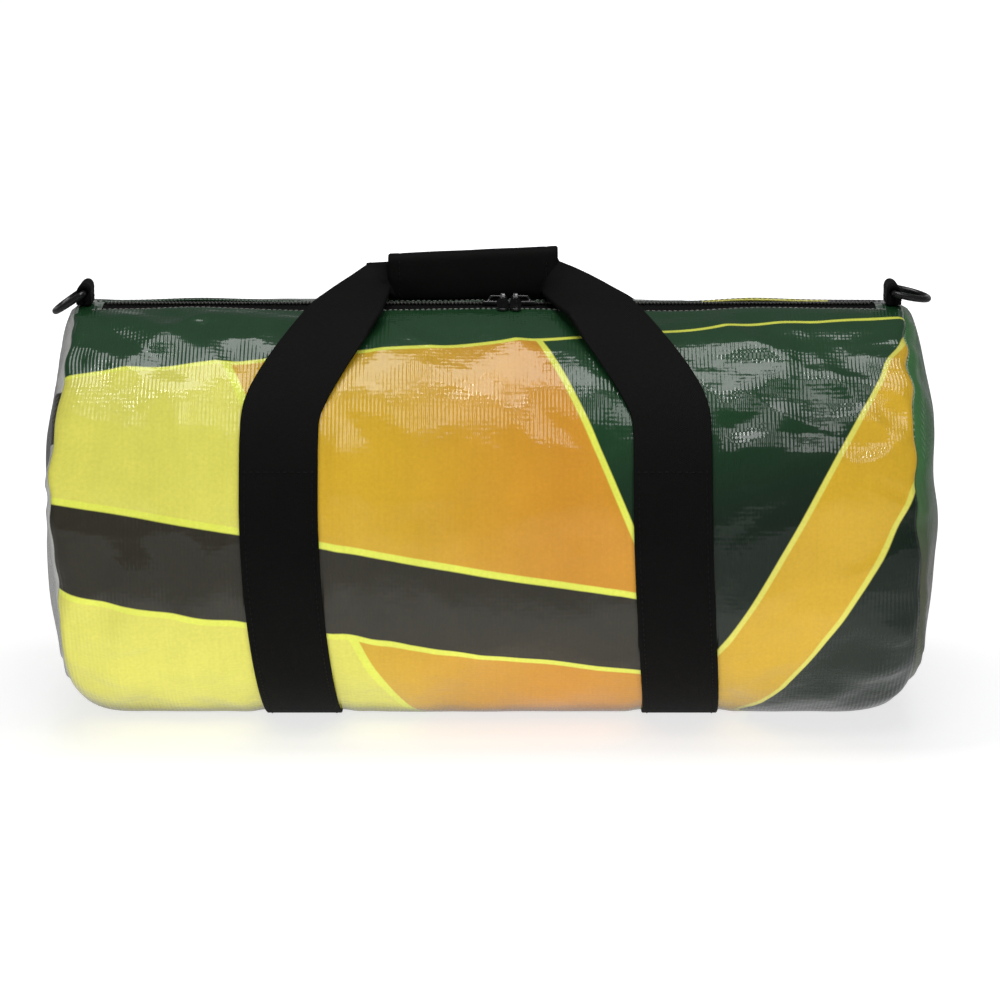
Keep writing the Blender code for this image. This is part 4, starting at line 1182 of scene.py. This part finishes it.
def end_ring(name, side):
    """A D-shaped ring: a straight bar in the tab, two arms and a round bow."""
    half, radius = RING_WIDTH / 2, RING_WIRE / 2
    corner = np.linspace(math.pi, 1.5 * math.pi, 8)
    path = [(RING_BEND + RING_BEND * math.cos(t), -half + RING_BEND + RING_BEND * math.sin(t)) for t in corner]
    bow = np.linspace(-math.pi / 2, math.pi / 2, 40)
    path += [(RING_DEPTH - half + half * math.cos(t), half * math.sin(t)) for t in bow]
    corner = np.linspace(math.pi / 2, math.pi, 8)
    path += [(RING_BEND + RING_BEND * math.cos(t), half - RING_BEND + RING_BEND * math.sin(t)) for t in corner]
    path += [(0.0, y) for y in np.linspace(half - RING_BEND, RING_BEND - half, 8)[1:-1]]
    path = np.array(path)
    turns = np.linspace(0, FULL_TURN, 18, endpoint=False)
    rest = RING_REST[side]
    rings = []
    for i, p in enumerate(path):
        ahead = unit(path[(i + 1) % len(path)] - path[i - 1])
        across = np.array([ahead[1], -ahead[0]])
        ring = []
        for t in turns:
            flat = p + across * radius * math.cos(t)
            u, y, w = flat[0], flat[1], radius * math.sin(t)
            ring.append((side * (TAB_X + u * math.cos(rest) - w * math.sin(rest)), y,
                         TAB_BAR_Z - u * math.sin(rest) - w * math.cos(rest)))
        rings.append(ring)
    points, faces = tube_mesh(rings, loop=True)
    obj = face_outwards(new_piece(name, points, faces, MOULDED))
    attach(obj, SIDE_NAMES[side] + "_ring")
    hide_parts("d_ring_" + SIDE_NAMES[side])


# Zip


def row_parting(x):
    left, right = SLIDER_HEADS
    behind = np.maximum(np.maximum(left - x, x - right), 0)
    return ROW_PARTING * np.clip(1 - behind / SHOULDER_LENGTH, 0, 1)


def zip_tape(name, side):
    """One half of the zip's tape, with the rounded cord edge that carries the coil."""
    xs = np.linspace(-HALF_MOUTH - TAPE_END_LAP, HALF_MOUTH + TAPE_END_LAP, 120)
    ys = np.concatenate([np.linspace(TAPE_HALF_GAP, 0.0045, 6), np.linspace(0.006, TAPE_HALF_GAP + TAPE_WIDTH, 9)])
    rings, places = [], []
    for x in xs:
        part = float(row_parting(x))
        y = ys + part * (1 - smoothstep(0.004, 0.012, ys))
        drop = TARP + SEW_GAP
        z = CENTRE_Z + np.sqrt((BAG_RADIUS - drop) ** 2 - y**2)
        top = np.column_stack([np.full_like(y, x), side * y, z])
        under = top[::-1] - np.array([0, 0, TAPE_THICK])
        rings.append(np.vstack([top, under]))
        places.append(np.column_stack([np.concatenate([ys, ys[::-1] + 0.05]), np.full(2 * len(ys), x)]))
    points, faces = tube_mesh(rings)
    obj = face_outwards(patterned_piece(name, points, faces, TAPE_CLOTH, places))
    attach(obj, "bag")
    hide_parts("zip_tape_" + ROW_NAMES[side])


def row_tree(name, sizes, build_one):
    """A Geometry Nodes tree that sets copies of one small shape along a line, evenly spaced.

    sizes are its named inputs with their values; build_one gives the shape and its turn about the line."""
    tree = bpy.data.node_groups.new(name, "GeometryNodeTree")
    tree.interface.new_socket("Line", in_out="INPUT", socket_type="NodeSocketGeometry")
    for label in sizes:
        tree.interface.new_socket(label, in_out="INPUT", socket_type="NodeSocketFloat")
    tree.interface.new_socket("Finish", in_out="INPUT", socket_type="NodeSocketMaterial")
    tree.interface.new_socket("Pieces", in_out="OUTPUT", socket_type="NodeSocketGeometry")
    given = tree.nodes.new("NodeGroupInput").outputs
    out = tree.nodes.new("NodeGroupOutput").inputs
    curve = add_node(tree, "GeometryNodeMeshToCurve", Mesh=given["Line"]).outputs["Curve"]
    spaced = add_node(tree, "GeometryNodeResampleCurve", {"mode": "LENGTH"}, Curve=curve, Length=given["Pitch"])
    tangent = tree.nodes.new("GeometryNodeInputTangent").outputs["Tangent"]
    turned = add_node(tree, "FunctionNodeAlignRotationToVector", {"axis": "X"}, Vector=tangent).outputs["Rotation"]
    shape, turn = build_one(tree, given, turned)
    points = spaced.outputs["Curve"]
    copies = add_node(tree, "GeometryNodeInstanceOnPoints", Points=points, Instance=shape, Rotation=turn)
    real = add_node(tree, "GeometryNodeRealizeInstances", Geometry=copies.outputs["Instances"])
    smooth = add_node(tree, "GeometryNodeSetShadeSmooth", Geometry=real.outputs["Geometry"])
    dressed = add_node(tree, "GeometryNodeSetMaterial", Geometry=smooth.outputs["Geometry"], Material=given["Finish"])
    tree.links.new(dressed.outputs["Geometry"], out["Pieces"])
    return tree


def bead(tree, length, width, height):
    """A long rounded bead, from a ball of few faces stretched to size."""
    ball = add_node(tree, "GeometryNodeMeshUVSphere", Segments=8, Rings=6, Radius=0.5).outputs["Mesh"]
    size = add_node(tree, "ShaderNodeCombineXYZ", X=length, Y=width, Z=height).outputs["Vector"]
    return add_node(tree, "GeometryNodeTransform", Geometry=ball, Scale=size).outputs["Geometry"]


def stitch_shape(tree, given, turned):
    return bead(tree, given["Stitch"], given["Thread"], given["Thread"]), turned


def coil_shape(tree, given, turned):
    slanted = add_node(tree, "FunctionNodeRotateRotation", {"rotation_space": "LOCAL"}, Rotation=turned)
    slant = add_node(tree, "ShaderNodeCombineXYZ", Z=given["Slant"]).outputs["Vector"]
    turn = add_node(tree, "FunctionNodeEulerToRotation", Euler=slant).outputs["Rotation"]
    tree.links.new(turn, slanted.inputs["Rotate By"])
    return bead(tree, given["Width"], given["Length"], given["Height"]), slanted.outputs["Rotation"]


STITCH_TREE = row_tree("row of stitches", ("Pitch", "Stitch", "Thread"), stitch_shape)
COIL_TREE = row_tree("row of zip coil", ("Pitch", "Width", "Length", "Height", "Slant"), coil_shape)


def copies_along(name, lines, tree, finish, **sizes):
    """A plain mesh of the copies that a tree sets along each line of points."""
    points, edges = [], []
    for line in lines:
        start = len(points)
        points += [tuple(map(float, p)) for p in line]
        edges += [(start + i, start + i + 1) for i in range(len(line) - 1)]
    mesh = bpy.data.meshes.new(name)
    mesh.from_pydata(points, edges, [])
    obj = bpy.data.objects.new(name, mesh)
    bpy.context.scene.collection.objects.link(obj)
    rows = obj.modifiers.new("copies", "NODES")
    rows.node_group = tree
    for item in tree.interface.items_tree:
        if item.in_out == "INPUT" and item.name in sizes:
            rows[item.identifier] = float(sizes[item.name])
        elif item.in_out == "INPUT" and item.name == "Finish":
            rows[item.identifier] = finish
    return settle(obj)


def stitches(name, lines, body, finish=HEM_THREAD, pitch=0.0036, stitch=0.0027, thread=0.0007):
    obj = copies_along(name, lines, STITCH_TREE, finish, Pitch=pitch, Stitch=stitch, Thread=thread)
    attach(obj, body)
    return obj


def zip_coil(name, side):
    """A row of the zip's coil. The two rows mesh, half a pitch apart, and part between the sliders."""
    start = -HALF_MOUTH + TEETH_END_GAP + (COIL_PITCH / 2 if side > 0 else 0)
    xs = np.arange(start, HALF_MOUTH - TEETH_END_GAP, COIL_PITCH)
    y = side * (0.0013 + row_parting(xs))
    z = np.full_like(xs, TEETH_BASE_Z + TOOTH_HEIGHT / 2)
    obj = copies_along(name, [np.column_stack([xs, y, z])], COIL_TREE, COIL, Pitch=COIL_PITCH,
                       Width=0.0015, Length=0.0040, Height=TOOTH_HEIGHT, Slant=side * 0.30)
    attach(obj, "bag")
    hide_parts("zip_teeth_" + ROW_NAMES[side])


def eased_copy(node, name, body):
    """A copy of a hard fitting from the model, with its sharp edges eased as on a casting."""
    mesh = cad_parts[node].data.copy()
    mesh.materials.clear()
    mesh.materials.append(ENAMEL)
    obj = bpy.data.objects.new(name, mesh)
    bpy.context.scene.collection.objects.link(obj)
    shape = bmesh.new()
    shape.from_mesh(mesh)
    bmesh.ops.remove_doubles(shape, verts=shape.verts, dist=1e-6)
    bmesh.ops.dissolve_limit(shape, angle_limit=math.radians(1), verts=shape.verts, edges=shape.edges)
    shape.to_mesh(mesh)
    shape.free()
    ease = obj.modifiers.new("eased edges", "BEVEL")
    ease.width = EASED_EDGE
    ease.segments = 3
    ease.limit_method = "ANGLE"
    ease.angle_limit = math.radians(28)
    settle(obj)
    obj.data.shade_smooth()
    obj.data.set_sharp_from_angle(angle=math.radians(40))
    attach(obj, body)
    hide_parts(node)


# Stitching


def on_skin(x, a, out):
    x, a = np.broadcast_arrays(np.asarray(x, float), np.asarray(a, float))
    wrapped = np.mod(a, FULL_TURN)
    return bag_surface(x, wrapped, skin_height(x, wrapped) + out)


def sew():
    """Rows of stitches: beside the zip, down both edges of the straps and across them at the fold lines."""
    along = np.linspace(-HALF_MOUTH - 0.004, HALF_MOUTH + 0.004, 200)
    for name, sign, hem in (("hem_stitches_front", 1, FRONT_HEM), ("hem_stitches_back", -1, BACK_HEM)):
        stitches(name, [on_skin(along, sign * (hem + 0.0022 / BAG_RADIUS), 0.00012)], "bag")
    over = SEW_GAP + WEB_THICK + 0.0001
    inset = WEB_WIDTH / 2 - 0.0035
    first = SEWN_ANGLE * (1 + LEG_LEAD) + 0.03
    round_base = np.linspace(first, FULL_TURN - first, 220)
    for name, x in (("band_stitches_left", STRAPS_X[0]), ("band_stitches_right", STRAPS_X[1])):
        lines = [bag_surface(x + off + strap_drift(round_base), round_base, over) for off in (-inset, inset)]
        for line in lines:
            line[:, 2] = np.maximum(line[:, 2], 0.0005)
        across = np.linspace(-inset, inset, 30)
        lines += [bag_surface(x + across, a, over) for a in (first, FULL_TURN - first)]
        stitches(name, lines, "bag", WEB_THREAD, pitch=0.0042, stitch=0.0032)


# Light, camera and floor


def set_camera(scene):
    scene.view_settings.view_transform = "Standard"
    camera = bpy.data.objects.new("camera", bpy.data.cameras.new("camera"))
    scene.collection.objects.link(camera)
    target = Vector((0.0074, 0, 0.1374))
    raised, distance = math.radians(12.5), 2.4
    camera.location = target + distance * Vector((0, -math.cos(raised), math.sin(raised)))
    camera.rotation_euler = (math.pi / 2 - raised, 0, 0)
    camera.data.lens = 128.7
    camera.data.sensor_width = 36.0
    scene.camera = camera


def set_lamps(scene):
    for name, at, aim, size, power, mirrored in LAMPS:
        lamp = bpy.data.lights.new(name, "AREA")
        lamp.shape = "RECTANGLE"
        lamp.size, lamp.size_y = size
        lamp.energy = power
        obj = bpy.data.objects.new(name, lamp)
        scene.collection.objects.link(obj)
        obj.location = at
        obj.rotation_euler = (Vector(aim) - Vector(at)).to_track_quat("-Z", "Y").to_euler()
        obj.visible_glossy = mirrored


def set_world(scene):
    """White to the camera, a dim room to the bag, and some of the white mirrored from behind it."""
    world = bpy.data.worlds.new("studio")
    scene.world = world
    world.use_nodes = True
    tree = world.node_tree
    tree.nodes.clear()
    rays = tree.nodes.new("ShaderNodeLightPath").outputs
    way = parts_of(tree, tree.nodes.new("ShaderNodeTexCoord").outputs["Generated"])
    room = add_node(tree, "ShaderNodeBackground", Color=(0.96, 0.98, 1.0), Strength=0.12)
    white = add_node(tree, "ShaderNodeBackground", Color=(1.0, 1.0, 1.0), Strength=1.0)
    behind = calc(tree, "MULTIPLY", ramp_between(tree, way["Y"], 0.1, 0.6),
                  calc(tree, "SUBTRACT", 1.0, ramp_between(tree, way["Z"], 0.15, 0.35)))
    mirrored = calc(tree, "MAXIMUM", rays["Is Glossy Ray"], rays["Is Transmission Ray"])
    mirrored = calc(tree, "MULTIPLY", mirrored, calc(tree, "MULTIPLY", behind, 0.35))
    seen = calc(tree, "MAXIMUM", rays["Is Camera Ray"], mirrored)
    mixed = tree.nodes.new("ShaderNodeMixShader")
    feed(tree, mixed.inputs[0], seen)
    tree.links.new(room.outputs[0], mixed.inputs[1])
    tree.links.new(white.outputs[0], mixed.inputs[2])
    tree.links.new(mixed.outputs[0], tree.nodes.new("ShaderNodeOutputWorld").inputs["Surface"])


def studio_floor():
    """White to the camera under the bag's shadow, and dark in the bag's gloss but for the paper near it."""
    reach = 30.0
    corners = [(-reach, -reach, 0), (reach, -reach, 0), (reach, reach, 0), (-reach, reach, 0)]
    material = bpy.data.materials.new("studio floor")
    material.use_nodes = True
    tree = material.node_tree
    shader = tree.nodes["Principled BSDF"]
    shader.inputs["Base Color"].default_value = (0.50, 0.50, 0.51, 1)
    shader.inputs["Roughness"].default_value = 0.9
    shader.inputs["Specular IOR Level"].default_value = 0.1
    rays = tree.nodes.new("ShaderNodeLightPath").outputs
    place = tree.nodes.new("ShaderNodeTexCoord").outputs["Object"]
    away = add_node(tree, "ShaderNodeVectorMath", {"operation": "LENGTH"})
    tree.links.new(place, away.inputs[0])
    far = ramp_between(tree, away.outputs["Value"], 0.30, 0.75)
    shown = scaled(tree, far, 0.26, 0.72)
    glossy = calc(tree, "MAXIMUM", rays["Is Glossy Ray"], rays["Is Transmission Ray"])
    parts = parts_of(tree, place)
    beside = ramp_between(tree, calc(tree, "ABSOLUTE", parts["X"]), 0.27, 0.36)
    paper = calc(tree, "SUBTRACT", ramp_between(tree, parts["Y"], -0.30, -0.19), beside, clamp=True)
    dim = scaled(tree, paper, 0.40, 0.02)
    strength = scaled(tree, shown, rays["Is Camera Ray"], calc(tree, "MULTIPLY", dim, glossy))
    feed(tree, shader.inputs["Emission Color"], (1.0, 1.0, 1.0))
    feed(tree, shader.inputs["Emission Strength"], strength)
    floor = new_piece("studio_floor", corners, [(0, 1, 2, 3)], material, smooth=False)


for step in (set_camera, set_lamps, set_world):
    step(bpy.context.scene)
studio_floor()
barrel_skin()
end_skin("end_skin_left", -1, END_LEFT)
end_skin("end_skin_right", 1, END_RIGHT)
for way, label in SIDE_NAMES.items():
    seam_tape("seam_tape_" + label, way)
    ring_tab("tab_" + label, way)
    end_ring("ring_" + label, way)
for way, label in ROW_NAMES.items():
    zip_tape("tape_" + label, way)
    zip_coil("coil_" + label, way)
for label in SIDE_NAMES.values():
    eased_copy("zip_slider_" + label, "slider_" + label, label + "_slider")
    eased_copy("zip_pull_" + label, "pull_" + label, label + "_pull")
handle_strap("front_strap", 1, FRONT_RUN_Y, WRAPPING, "front_handle")
handle_strap("back_strap", -1, BACK_RUN_Y, 0, "back_handle")
grip()
sew()
